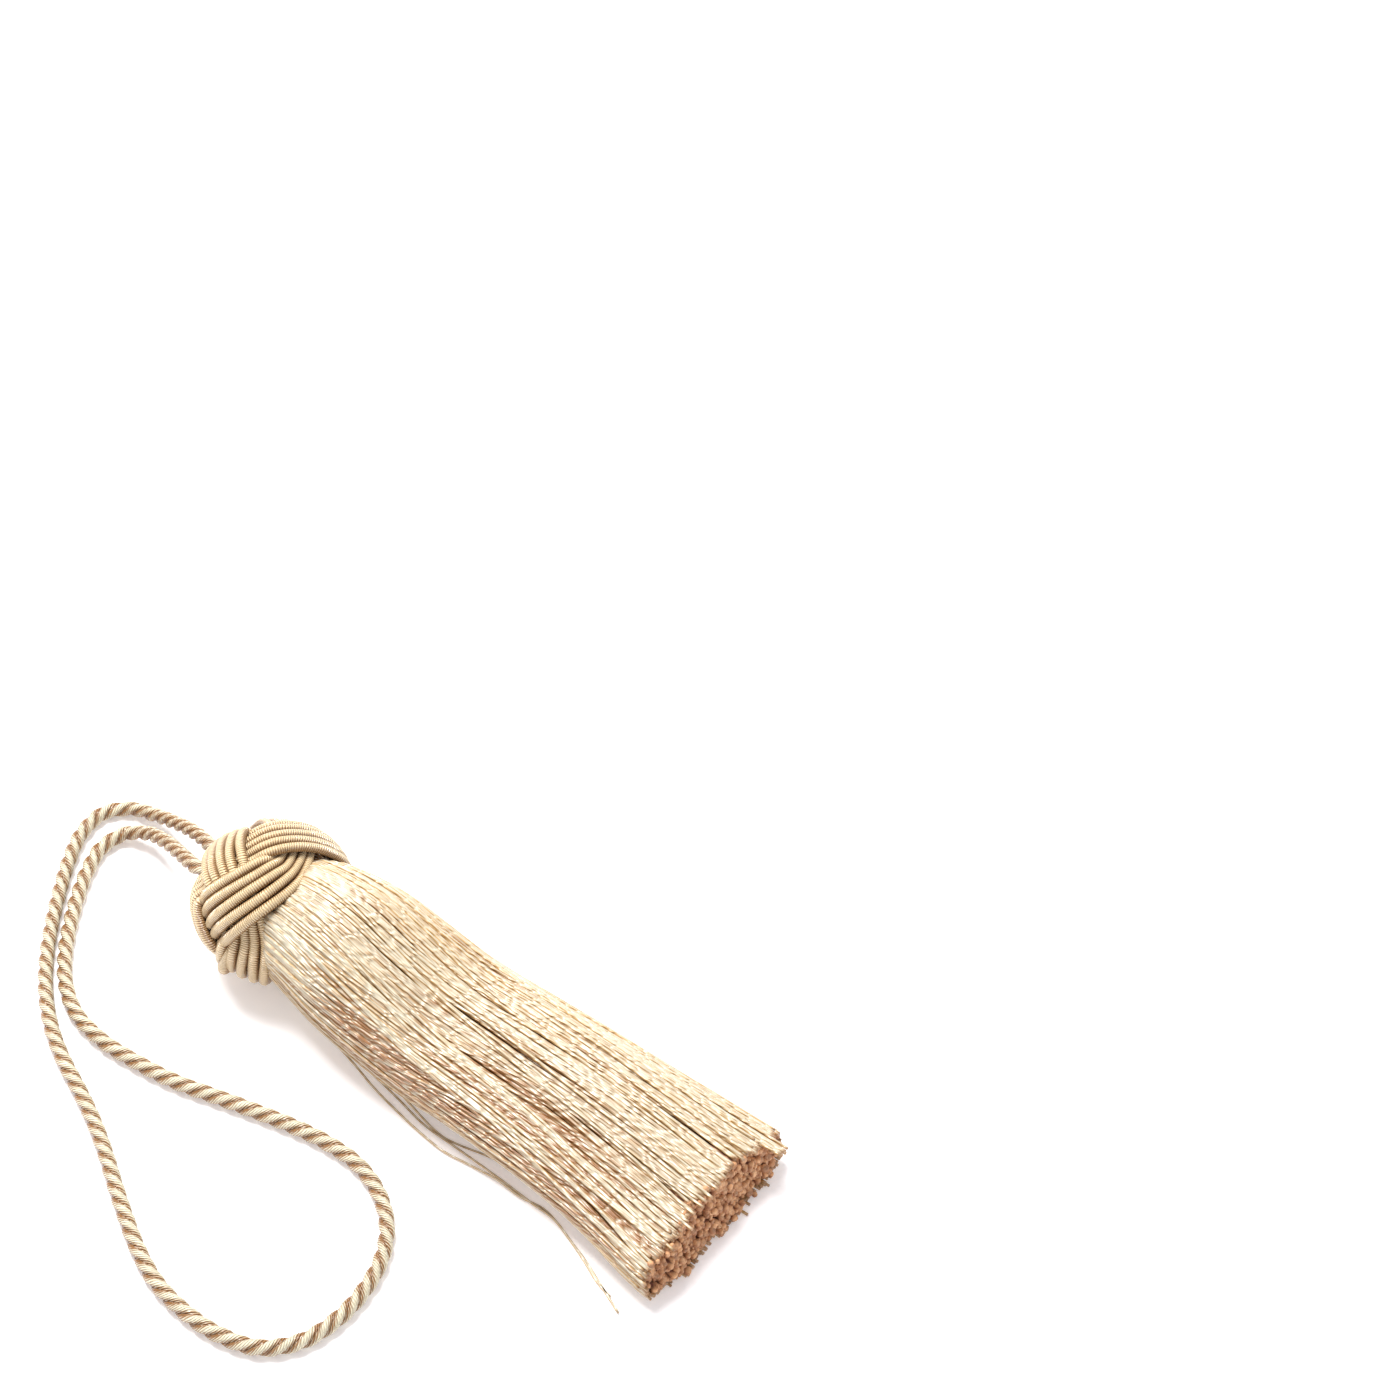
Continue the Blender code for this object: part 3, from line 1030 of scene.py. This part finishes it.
@dataclass
class Drift:
    """What neighbouring threads share: drift, valleys between locks and painted flank shade."""

    rng: np.random.Generator
    form: SkirtForm
    # turns round the skirt, size in millimetres; the waves shift as they run along it
    waves: Rows = ((3, 0.7), (5, 0.55), (8, 0.40), (12, 0.30), (17, 0.22), (23, 0.16))
    wave_rates: Span = (0.3, 0.9)
    wave_lag: float = 0.8
    # how much of the drift shows away from the near side, and on it
    calm: float = 0.30
    lively: float = 0.65
    near_side: float = 0.70
    near_spread: float = 0.10
    valleys: Rows = (
        # x from head, share of the way round, half length, half width; millimetres
        (46.0, 0.356, 14.0, 0.7), (34.0, 0.310, 12.0, 0.7), (24.0, 0.459, 6.0, 0.4),
        (33.0, 0.643, 14.0, 1.2), (38.0, 0.700, 15.0, 1.8), (42.0, 0.659, 14.0, 1.2),
        (57.0, 0.666, 12.0, 1.2), (48.0, 0.533, 8.0, 0.5), (44.0, 0.572, 9.0, 0.5),
        (63.0, 0.649, 12.0, 1.0), (69.0, 0.578, 15.0, 0.9), (67.0, 0.510, 15.0, 0.6),
        (84.0, 0.523, 8.0, 0.6), (74.0, 0.662, 18.0, 2.2), (75.0, 0.592, 13.0, 1.0),
        (88.0, 0.610, 12.0, 0.9), (66.0, 0.690, 12.0, 1.4), (88.0, 0.710, 12.0, 1.4),
        (101.0, 0.627, 6.0, 0.6), (80.0, 0.377, 9.0, 0.4), (77.0, 0.300, 18.0, 0.7),
        (98.0, 0.530, 7.0, 0.4), (40.0, 0.200, 14.0, 1.0), (66.0, 0.170, 15.0, 1.1),
        (84.0, 0.240, 13.0, 0.9), (30.0, 0.090, 10.0, 1.0), (55.0, 0.060, 14.0, 1.0),
        (36.0, 0.880, 14.0, 1.0), (62.0, 0.830, 16.0, 1.2), (84.0, 0.800, 14.0, 0.9),
        (90.0, 0.930, 12.0, 0.9), (96.0, 0.665, 14.0, 1.6), (100.0, 0.690, 11.0, 1.2),
        (52.0, 0.705, 15.0, 1.6), (54.0, 0.600, 12.0, 0.9), (90.0, 0.560, 11.0, 0.6))
    valley_spread: float = 1.5
    # how far threads sink in a valley; how far it pushes them aside, and how sharply
    sink: float = 0.45 * MM
    push: float = 0.3
    push_steepness: float = 2.0
    deepest: float = 1.15
    flank_shade: Rows = (
        # x from head in millimetres, share at which the painted flank shade begins, its strength
        (10.0, 0.735, 0.2), (20.0, 0.695, 0.8), (34.0, 0.655, 1.0), (50.0, 0.625, 1.0),
        (62.0, 0.585, 1.0), (90.0, 0.580, 1.0), (101.0, 0.605, 0.7), (111.0, 0.640, 0.3))
    flank_shade_to: float = 0.86
    flank_shade_edge: float = 0.05
    # streaks in the painted flank shade: turns round the skirt and along it, size; middle and floor
    streaks: Rows = ((13.0, 0.9, 0.55), (31.0, -0.6, 0.35))
    streak_middle: float = 0.55
    streak_floor: float = 0.4

    def __post_init__(self) -> None:
        """Draws the waves' phases and rates."""
        self.drawn = [(turns, size * MM, *self.rng.uniform(0.0, TURN, 2),
                       self.rng.uniform(*self.wave_rates)) for turns, size in self.waves]

    def at(self, x: Array, share: float) -> tuple[Array, Array]:
        """Drift and valleys at each distance from the head, for one thread.

        Args:
            x: Distances from the head.
            share: The thread's share of the way round.

        Returns:
            How far the thread lies to the side of its own share, and how deep in a valley it is.
        """
        along = x / self.form.length
        nearness = math.exp(-((share - self.near_side) / self.near_spread)**2)
        waves = sum(size * np.sin(TURN * turns * share + phase
                                  + self.wave_lag * np.sin(TURN * along + lag))
                    * np.sin(TURN * rate * along + lag)
                    for turns, size, phase, lag, rate in self.drawn)
        drift = waves * (self.calm + (self.lively - self.calm) * nearness)
        hollow = np.zeros_like(x)
        girth = self.form.girth_at(x)
        for middle, valley_share, half_length, half_width in self.valleys:
            aside = ((share - valley_share + 0.5) % 1.0 - 0.5) * girth / (half_width * MM)
            lens = np.clip(1.0 - ((x / MM - middle) / half_length)**2, 0.0, 1.0)
            near = lens * np.exp(-(aside / self.valley_spread)**2)
            push = np.tanh(self.push_steepness * aside)
            drift += self.push * half_width * MM * near * push
            hollow += min(half_width, 1.0) * near
        return drift, np.minimum(hollow, self.deepest)

    def flank_shaded(self, x: Array, share: float) -> Array:
        """How much painted shade a thread on the flank takes.

        Args:
            x: Distances from the head.
            share: The thread's share of the way round.

        Returns:
            Its painted shade at each distance, from 0 to 1.
        """
        at, starts, strengths = np.array(self.flank_shade).T
        start, strength = (np.interp(x / MM, at, column) for column in (starts, strengths))
        inside = smooth_step((share - start) / self.flank_shade_edge + 0.5)
        inside = inside * smooth_step((self.flank_shade_to - share) / self.flank_shade_edge)
        along = x / self.form.length
        streaks = self.streak_middle + sum(size * np.sin(TURN * (turns * share + rate * along))
                                           for turns, rate, size in self.streaks)
        lit = self.streak_floor + (1.0 - self.streak_floor) * np.clip(streaks, 0.0, 1.0)
        return inside * strength * lit


@dataclass
class Skirt:
    """The skirt: layers of two-ply threads, loose ones over them, and the cut ends."""

    form: SkirtForm
    seed: int = 11

    # every thread
    thread_radius: float = 0.32 * MM
    thickness: Span = (0.85, 1.1)
    root_x: float = 5.0 * MM
    rings: int = 100
    sides: int = 6
    # rings stand closer near the knot, and the last one shows as the thread's cut
    even_share: float = 0.1
    crowding: float = 1.5
    cut_at: float = 0.995
    # where threads come loose from each other, sideways and in and out
    loose_from: float = 8.0 * MM
    loose_over: float = 30.0 * MM
    heave_from: float = 10.0 * MM
    heave_over: float = 20.0 * MM
    # turns over the thread's length, size
    sways: Rows = ((0.8, 1.0), (2.1, 0.6))
    heaves: Rows = ((0.7, 1.0), (2.6, 0.5))
    tones: Rows = ((2.2, 0.6), (6.0, 0.5))
    lay_shift: float = 20.0 * MM
    # how far threads are in shade: by their depth, in valleys and under the knot
    shade_from: float = 0.42 * MM
    shade_over: float = 0.9 * MM
    shade_most: float = 0.5
    valley_shade: float = 0.8
    grip_shade: float = 0.9
    darkest: float = 0.95

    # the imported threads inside
    core_rings: int = 60
    core_sides: int = 72
    core_depth: float = 2.0 * MM
    core_setback: float = 6.0 * MM

    # the second layer; depths in millimetres
    inner_threads: int = 190
    inner_rings: int = 60
    inner_jitter: Span = (0.2, 0.8)
    inner_depths: Span = (0.56, 0.80)
    inner_sinking: float = 0.5

    # the outer layer; depths, ends and slips in millimetres, sides as shares of the way round
    threads: int = 200
    jitter: Span = (0.1, 0.9)
    depths: Span = (0.34, 0.64)
    uneven_ends: float = 0.35
    slips: float = 1.1
    # how much painted shade on the flank an outer thread takes, and the odds of each
    flank_shading: Span = (0.1, 1.0)
    flank_shading_odds: Span = (0.42, 0.58)
    near_side: Span = (0.5, 0.8)
    far_side: Span = (0.2, 0.5)

    # loose threads over the others, and the tuft; slips, ends and lengths in millimetres
    crossing_threads: int = 44
    crossing_shares: Span = (0.28, 0.90)
    crossing_slips: Span = (2.0, 8.0)
    crossing_ends: float = 0.6
    crossing_sway: float = 0.5 * MM
    crossing_heave: float = 0.1 * MM
    loose_depth: float = 0.2 * MM
    flank_every: int = 4
    flank_shares: Span = (0.54, 0.65)
    flank_sinking: float = 0.2
    tuft_threads: int = 8
    tuft_shares: Span = (0.318, 0.342)
    tuft_lengths: Span = (3.8, 4.6)

    # the cut face
    end_threads: int = 520
    end_sides: int = 8
    end_radius: float = 0.60 * MM
    end_thickness: Span = (0.7, 1.35)
    end_profile: Rows = (
        # back from the cut in millimetres, fullness
        (6.0, 0.80), (4.5, 0.82), (3.2, 0.84), (2.2, 0.86), (1.4, 0.88), (0.8, 0.90),
        (0.45, 1.2), (0.15, 1.05), (0.0, 0.5))
    # clumps of ends: size in millimetres, radians across, shift, radians up, slant
    clumps: tuple[float, ...] = (0.4, 31.0, 2.0, 13.0, 4.0)
    # how unevenly the ends are cut and how far they lean, in millimetres; how much of the
    # section they fill, across and up
    end_ragged: float = 0.28
    end_lean: float = 0.5
    end_inset: Span = (0.93, 0.84)
    end_shade_from: float = 0.2 * MM
    end_shade_over: float = 1.3 * MM

    # loose threads beside the skirt
    stray_thickness: float = 0.75
    stray_tone: float = 0.3
    strays: tuple[Rows, ...] = (
        # x from head, sideways, height; millimetres
        ((10.8, -9.6, 8.6), (15.4, -11.0, 7.4), (21.0, -12.0, 5.6), (24.9, -12.2, 4.0),
         (28.7, -12.4, 2.8), (33.9, -13.2, 1.6), (39.0, -14.4, 0.9), (46.2, -15.7, 0.5),
         (53.4, -16.8, 0.5), (59.1, -17.3, 0.5), (65.8, -16.6, 0.5), (72.1, -16.2, 0.8),
         (77.0, -16.4, 0.5), (82.7, -15.8, 0.5), (86.2, -16.6, 0.5), (91.5, -18.4, 0.5),
         (95.9, -19.9, 0.4), (100.6, -21.9, 0.4), (106.9, -24.6, 0.4)),
        ((27.0, -11.6, 5.0), (33.3, -12.7, 3.4), (36.1, -12.9, 2.4), (39.2, -13.0, 1.8),
         (42.2, -13.3, 1.2), (45.1, -13.7, 0.9), (52.3, -15.0, 0.6), (60.7, -15.4, 0.8),
         (67.8, -15.9, 1.4), (74.0, -15.9, 0.8), (80.0, -16.2, 0.6), (85.7, -16.5, 0.6),
         (89.5, -17.7, 0.5), (94.3, -19.5, 0.4), (100.8, -22.2, 0.4), (103.7, -22.9, 0.4)),
        ((46.0, -13.6, 3.0), (51.1, -14.4, 1.8), (54.5, -14.8, 0.9), (57.4, -14.9, 0.5),
         (60.9, -14.5, 0.6), (65.9, -13.6, 1.0), (69.7, -13.4, 1.8)))

    def __post_init__(self) -> None:
        """Seeds the draws."""
        self.rng = np.random.default_rng(self.seed)
        self.drift = Drift(self.rng, self.form)

    def build(self, dresser: Dresser) -> None:
        """Makes and dresses the skirt's pieces.

        Args:
            dresser: What dresses them.
        """
        for piece in (self.core(), self.inner_layer(), *self.outer_layer(), self.crossing_layer()):
            dresser.dress(piece, THREAD_FINISH, Node.SKIRT)
        dresser.dress(self.cut_ends(), CUT_FINISH, Node.SKIRT)
        dresser.dress(self.stray_threads(), THREAD_FINISH, Node.SKIRT)

    def core(self) -> bpy.types.Object:
        """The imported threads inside, seen only as the dark between those of the layers.

        Returns:
            The piece.
        """
        tube = Tube(self.core_rings, self.core_sides)
        last = self.form.length - self.core_setback
        x = self.root_x + (last - self.root_x) * tube.ring / (tube.rings - 1)
        share = (tube.angle + math.pi / 2) / TURN
        points, _, _ = self.form.place(x, share, np.full(len(x), self.core_depth))
        mesh = tube.mesh
        mesh.name = "packed_threads"
        mesh.vertices.foreach_set("co", points.ravel())
        # painted shade: the packed threads take all of the deep shade colour
        write_values(mesh, {"depth": np.full(len(x), 1.0)})
        mesh.shade_smooth()
        mesh.update()
        return link(mesh)

    def thread(self, share: float, depth: float, rings: int, extra: float = 0.0,
               slip: float = 0.0, sway: float = 0.36 * MM, heave: float = 0.12 * MM,
               sinking: float = 1.0, flank_shading: float = 1.0) -> Strand:
        """One thread from under the knot to the cut end.

        Args:
            share: Its share of the way round.
            depth: How far under the form's surface it lies.
            rings: How many rings it has.
            extra: How far it stands out of the cut end.
            slip: How far it slips sideways over its length.
            sway: How far it sways by itself.
            heave: How far it moves in and out by itself.
            sinking: How much it follows the others down into the valleys.
            flank_shading: How much it takes of the painted shade on the flank.

        Returns:
            The strand.
        """
        rng = self.rng
        turn = TURN * share - math.pi / 2
        last = self.form.end(math.cos(turn), math.sin(turn)) + extra
        t = np.append(np.linspace(0.0, self.cut_at, rings - 1), 1.0)
        t = self.even_share * t + (1.0 - self.even_share) * t**self.crowding
        x = self.root_x + (last - self.root_x) * t
        along = (x - self.root_x) / (self.form.length - self.root_x)
        phases = rng.uniform(0.0, TURN, 6)
        drift, hollow = self.drift.at(x, share)
        own = sway * wave_sum(along, self.sways, phases[0:2])
        loose = smooth_step((x - self.loose_from) / self.loose_over)
        side = loose * (drift + own) + slip * smooth_step(along)
        own = heave * wave_sum(along, self.heaves, phases[2:4])
        loose = smooth_step((x - self.heave_from) / self.heave_over)
        under = depth + sinking * self.drift.sink * hollow + own * loose
        path, out, free = self.form.place(x, share + side / self.form.girth_at(x), under)
        path[:, 2] = np.maximum(path[:, 2], self.thread_radius)
        frayed = np.zeros(rings)
        frayed[-1] = 1.0
        # painted shade on the flank, carried in the thread's tone and depth values
        flank_shade = flank_shading * self.drift.flank_shaded(x, share)
        tone = rng.uniform(-1.0, 1.0) + wave_sum(along, self.tones, phases[4:6]) + flank_shade
        shade = np.clip((depth - self.shade_from) / self.shade_over, 0.0, self.shade_most)
        shade = np.maximum(shade + self.valley_shade * sinking * hollow,
                           self.grip_shade * (1.0 - free))
        return Strand(path, out, self.thread_radius * rng.uniform(*self.thickness), tone=tone,
                      start=rng.uniform(0.0, self.lay_shift), frayed=frayed,
                      depth=np.clip(shade + flank_shade, 0.0, self.darkest))

    def inner_layer(self) -> bpy.types.Object:
        """The second layer, which shows where the outer threads part.

        Returns:
            The piece.
        """
        strands = [self.thread((k + self.rng.uniform(*self.inner_jitter)) / self.inner_threads,
                               self.rng.uniform(*self.inner_depths) * MM, self.inner_rings,
                               sinking=self.inner_sinking)
                   for k in range(self.inner_threads)]
        return bundle("inner_threads", Tube(self.inner_rings, self.sides), strands)

    def outer_layer(self) -> list[bpy.types.Object]:
        """The outer threads, in three pieces by the side they are on.

        Returns:
            The pieces.
        """
        tube = Tube(self.rings, self.sides)
        sides: dict[str, list[Strand]] = {"near_threads": [], "far_threads": [],
                                          "under_threads": []}
        for k in range(self.threads):
            share = (k + self.rng.uniform(*self.jitter)) / self.threads
            if self.near_side[0] <= share < self.near_side[1]:
                name = "near_threads"
            elif self.far_side[0] <= share < self.far_side[1]:
                name = "far_threads"
            else:
                name = "under_threads"
            extra = self.rng.normal(0.0, self.uneven_ends) * MM
            depth = self.rng.uniform(*self.depths) * MM
            slip = self.rng.normal(0.0, self.slips) * MM
            flank_shading = self.rng.choice(self.flank_shading, p=self.flank_shading_odds)
            strand = self.thread(share, depth, self.rings, extra, slip, flank_shading=flank_shading)
            sides[name].append(strand)
        return [bundle(name, tube, strands) for name, strands in sides.items()]

    def crossing_layer(self) -> bpy.types.Object:
        """Threads that have slipped sideways over the others, and a tuft longer than the rest.

        Returns:
            The piece.
        """
        rng = self.rng
        strands = []
        for number in range(self.crossing_threads):
            flank = number % self.flank_every == 0
            share = rng.uniform(*(self.flank_shares if flank else self.crossing_shares))
            way = 1.0 if flank else rng.choice((-1.0, 1.0))
            slip = way * rng.uniform(*self.crossing_slips) * MM
            extra = rng.normal(0.0, self.crossing_ends) * MM
            strands.append(self.thread(share, self.loose_depth, self.rings, extra, slip,
                                       self.crossing_sway, self.crossing_heave,
                                       self.flank_sinking if flank else 1.0, flank_shading=0.0))
        for _ in range(self.tuft_threads):
            extra = rng.uniform(*self.tuft_lengths) * MM
            share = rng.uniform(*self.tuft_shares)
            strands.append(self.thread(share, self.loose_depth, self.rings, extra))
        return bundle("crossing_threads", Tube(self.rings, self.sides), strands)

    def cut_ends(self) -> bpy.types.Object:
        """The ends of the threads inside, packed side by side in the cut face.

        Returns:
            The piece.
        """
        back, fullness = np.array(self.end_profile).T
        back = back * MM
        rings = len(back)
        golden = math.pi * (3.0 - math.sqrt(5.0))
        size, wide, shift, high, slant = self.clumps
        strands = []
        for k in range(self.end_threads):
            reach = math.sqrt((k + 0.5) / self.end_threads)
            across, up = reach * math.cos(k * golden), reach * math.sin(k * golden)
            clump = size * math.sin(wide * across + shift) * math.sin(high * up + slant * across)
            last = self.form.end(across, up)
            last += (clump + self.rng.normal(0.0, self.end_ragged)) * MM
            x = last - back
            lean = self.rng.normal(0.0, self.end_lean, 2) * MM
            lean = lean * np.linspace(0.0, 1.0, rings)[:, None]**2
            y, z = self.form.inside(x, np.full(rings, self.end_inset[0] * across),
                                    np.full(rings, self.end_inset[1] * up))
            path = np.stack([HEAD_X + x, y + lean[:, 0], z + lean[:, 1]], -1)
            radius = self.end_radius * self.rng.uniform(*self.end_thickness) * fullness
            path[:, 2] = np.maximum(path[:, 2], radius)
            # painted shade on each end behind its tip, in among the others
            shade = smooth_step((back - self.end_shade_from) / self.end_shade_over)
            strands.append(Strand(path, upward(rings), radius, tone=self.rng.uniform(-1, 1),
                                  depth=shade, frayed=np.where(back == 0.0, 1.0, 0.0)))
        return bundle("thread_ends", Tube(rings, self.end_sides), strands)

    def stray_threads(self) -> bpy.types.Object:
        """Loose threads beside the skirt, lying on the surface.

        Returns:
            The piece.
        """
        strands = []
        for rows in self.strays:
            path = even_path(np.array(rows) * MM + (HEAD_X, 0.0, 0.0), self.rings)
            radius = self.stray_thickness * self.thread_radius
            strands.append(Strand(path, upward(self.rings), radius, tone=self.stray_tone))
        return bundle("stray_threads", Tube(self.rings, self.sides), strands)


# Hanging cord


@dataclass
class HangingCord:
    """The cord: three plies laid left-handed along its route, out of the knot and back in."""

    diameter: float = 3.2 * MM
    length: float = 400.0 * MM
    lay: float = 10.8 * MM
    ply_radius: float = 0.84 * MM
    rings: int = 660
    sides: int = 10
    plies: int = 3
    # painted sheen and shade: a ply's tone is pale where its fibres are square to this direction,
    # half way between the light and the camera, and dark where they lean
    sheen: Point = (0.127, -0.173, 0.977)
    dark_from: float = 0.12
    dark_over: float = 0.45
    shining_tone: float = -1.0
    dark_tone: float = 4.5
    # x from head, sideways, height; millimetres; on the surface the height is one for all
    leaving: Rows = (
        (-8.9, -2.8, 16.0), (-14.8, -3.4, 15.9), (-22.4, -0.9, 12.2), (-30.9, 1.9, 8.0),
        (-38.5, 3.0, 4.0), (-43.0, 1.0, 2.2))
    lying: Rows = (
        (-44.2, -3.6), (-42.2, -9.6), (-38.9, -15.6), (-34.7, -21.9), (-29.9, -27.9),
        (-24.5, -33.0), (-18.0, -36.7), (-10.0, -38.3), (0.0, -38.0), (9.6, -36.7),
        (17.3, -34.7), (25.3, -32.7), (33.2, -30.9), (41.4, -29.7), (49.7, -29.9),
        (56.9, -32.4), (62.5, -36.6), (66.3, -42.2), (68.3, -49.3), (68.5, -56.5),
        (66.5, -63.8), (61.6, -69.2), (54.5, -71.6), (46.0, -72.0), (37.5, -70.7),
        (29.6, -67.6), (22.9, -64.0), (16.5, -60.3), (10.6, -56.7), (3.7, -52.9),
        (-3.8, -49.4), (-11.0, -46.4), (-18.6, -42.4), (-25.7, -37.2), (-31.9, -31.1),
        (-37.5, -24.3), (-42.5, -17.3), (-47.1, -10.1), (-50.3, -3.4), (-50.6, 3.2))
    lying_height: float = 1.7
    returning: Rows = (
        (-46.6, 7.4, 1.9), (-41.2, 8.3, 3.1), (-33.4, 7.5, 6.7), (-25.2, 5.6, 11.0),
        (-16.6, 2.7, 14.8), (-8.9, 1.1, 15.6))

    def route(self) -> Array:
        """The points that the cord runs through."""
        lying = [(x, y, self.lying_height) for x, y in self.lying]
        return np.array((*self.leaving, *lying, *self.returning)) * MM + (HEAD_X, 0.0, 0.0)

    def build(self, dresser: Dresser) -> None:
        """Makes and dresses the cord.

        Args:
            dresser: What dresses it.
        """
        centre = even_path(self.route(), self.rings)
        ahead = heading(centre)
        side = square_to(upward(self.rings), ahead)
        other = np.cross(ahead, side)
        turn = -TURN * run_along(centre) / self.lay
        swing = self.diameter / 2 - self.ply_radius
        strands = []
        for ply in range(self.plies):
            at = (turn + TURN * ply / self.plies)[:, None]
            away = np.cos(at) * side + np.sin(at) * other
            path = centre + swing * away
            # painted sheen and shade: tone from how far the ply leans along the sheen direction
            leaning = np.abs(heading(path) @ np.array(self.sheen))
            dark = smooth_step((leaning - self.dark_from) / self.dark_over)
            tone = self.dark_tone * dark + self.shining_tone
            strands.append(Strand(path, away, self.ply_radius, tone=tone))
        cord = bundle("laid_cord", Tube(self.rings, self.sides), strands)
        dresser.dress(cord, CORD_FINISH, Node.CORD)


# Studio


@dataclass
class Studio:
    """The stage: pale floor, one soft light in an even surround, and the camera."""

    floor_size: float = 3.0
    floor_colour: Colour = (0.93, 0.925, 0.94)
    floor_roughness: float = 0.9
    floor_shine: float = 0.1
    floor_glow: float = 0.28
    glow_colour: Colour = (0.96, 0.915, 0.92)
    camera_at: Point = (237.39 * MM, -237.88 * MM, 454.08 * MM)
    camera_aim: Point = (-0.41779, 0.54707, -0.72537)
    lens: float = 50.0
    sensor: float = 24.0
    sky_colour: Colour = (1.0, 0.99, 1.0)
    sky_strength: float = 0.62
    light_at: Point = (-0.27, 0.08, 0.66)
    light_watts: float = 7.8
    light_size: float = 0.32

    def build(self) -> None:
        """Makes the stage."""
        self.camera()
        self.floor()
        self.surround()
        self.light()

    def camera(self) -> None:
        """The camera, where the photograph was taken from."""
        data = bpy.data.cameras.new("camera")
        data.lens = self.lens
        data.sensor_width = self.sensor
        camera = bpy.data.objects.new("camera", data)
        camera.location = self.camera_at
        camera.rotation_euler = Vector(self.camera_aim).to_track_quat("-Z", "Y").to_euler()
        bpy.context.scene.collection.objects.link(camera)
        bpy.context.scene.camera = camera

    def floor(self) -> None:
        """A plain pale floor."""
        bm = bmesh.new()
        bmesh.ops.create_grid(bm, x_segments=1, y_segments=1, size=self.floor_size)
        floor = link(mesh_from(bm, "floor"))
        material, shader = new_material("floor_paper")
        set_inputs(shader, {"Base Color": self.floor_colour, "Roughness": self.floor_roughness,
                            "Specular IOR Level": self.floor_shine,
                            "Emission Color": self.glow_colour,
                            "Emission Strength": self.floor_glow})
        floor.data.materials.append(material)

    def surround(self) -> None:
        """An even pale surround, in plain colours."""
        bpy.context.scene.view_settings.view_transform = "Standard"
        world = bpy.data.worlds.new("surround")
        world.use_nodes = True
        set_inputs(world.node_tree.nodes["Background"],
                   {"Color": self.sky_colour, "Strength": self.sky_strength})
        bpy.context.scene.world = world

    def light(self) -> None:
        """One soft light, turned to the middle of the stage."""
        data = bpy.data.lights.new("softbox", "AREA")
        data.energy = self.light_watts
        data.size = self.light_size
        light = bpy.data.objects.new("softbox", data)
        light.location = self.light_at
        light.rotation_euler = (-Vector(self.light_at)).to_track_quat("-Z", "Y").to_euler()
        bpy.context.scene.collection.objects.link(light)


def main() -> None:
    """Builds the stage and the tassel."""
    logging.basicConfig(level=logging.INFO, format="%(name)s: %(message)s")
    Studio().build()
    dresser = Dresser()
    HangingCord().build(dresser)
    knot = HeadKnot(KnotForm())
    knot.build(dresser)
    Skirt(SkirtForm(knot.form.skirt_edge(knot.gimp_radius))).build(dresser)
    LOG.info("%d pieces", dresser.count)


if __name__ == "__main__":
    main()
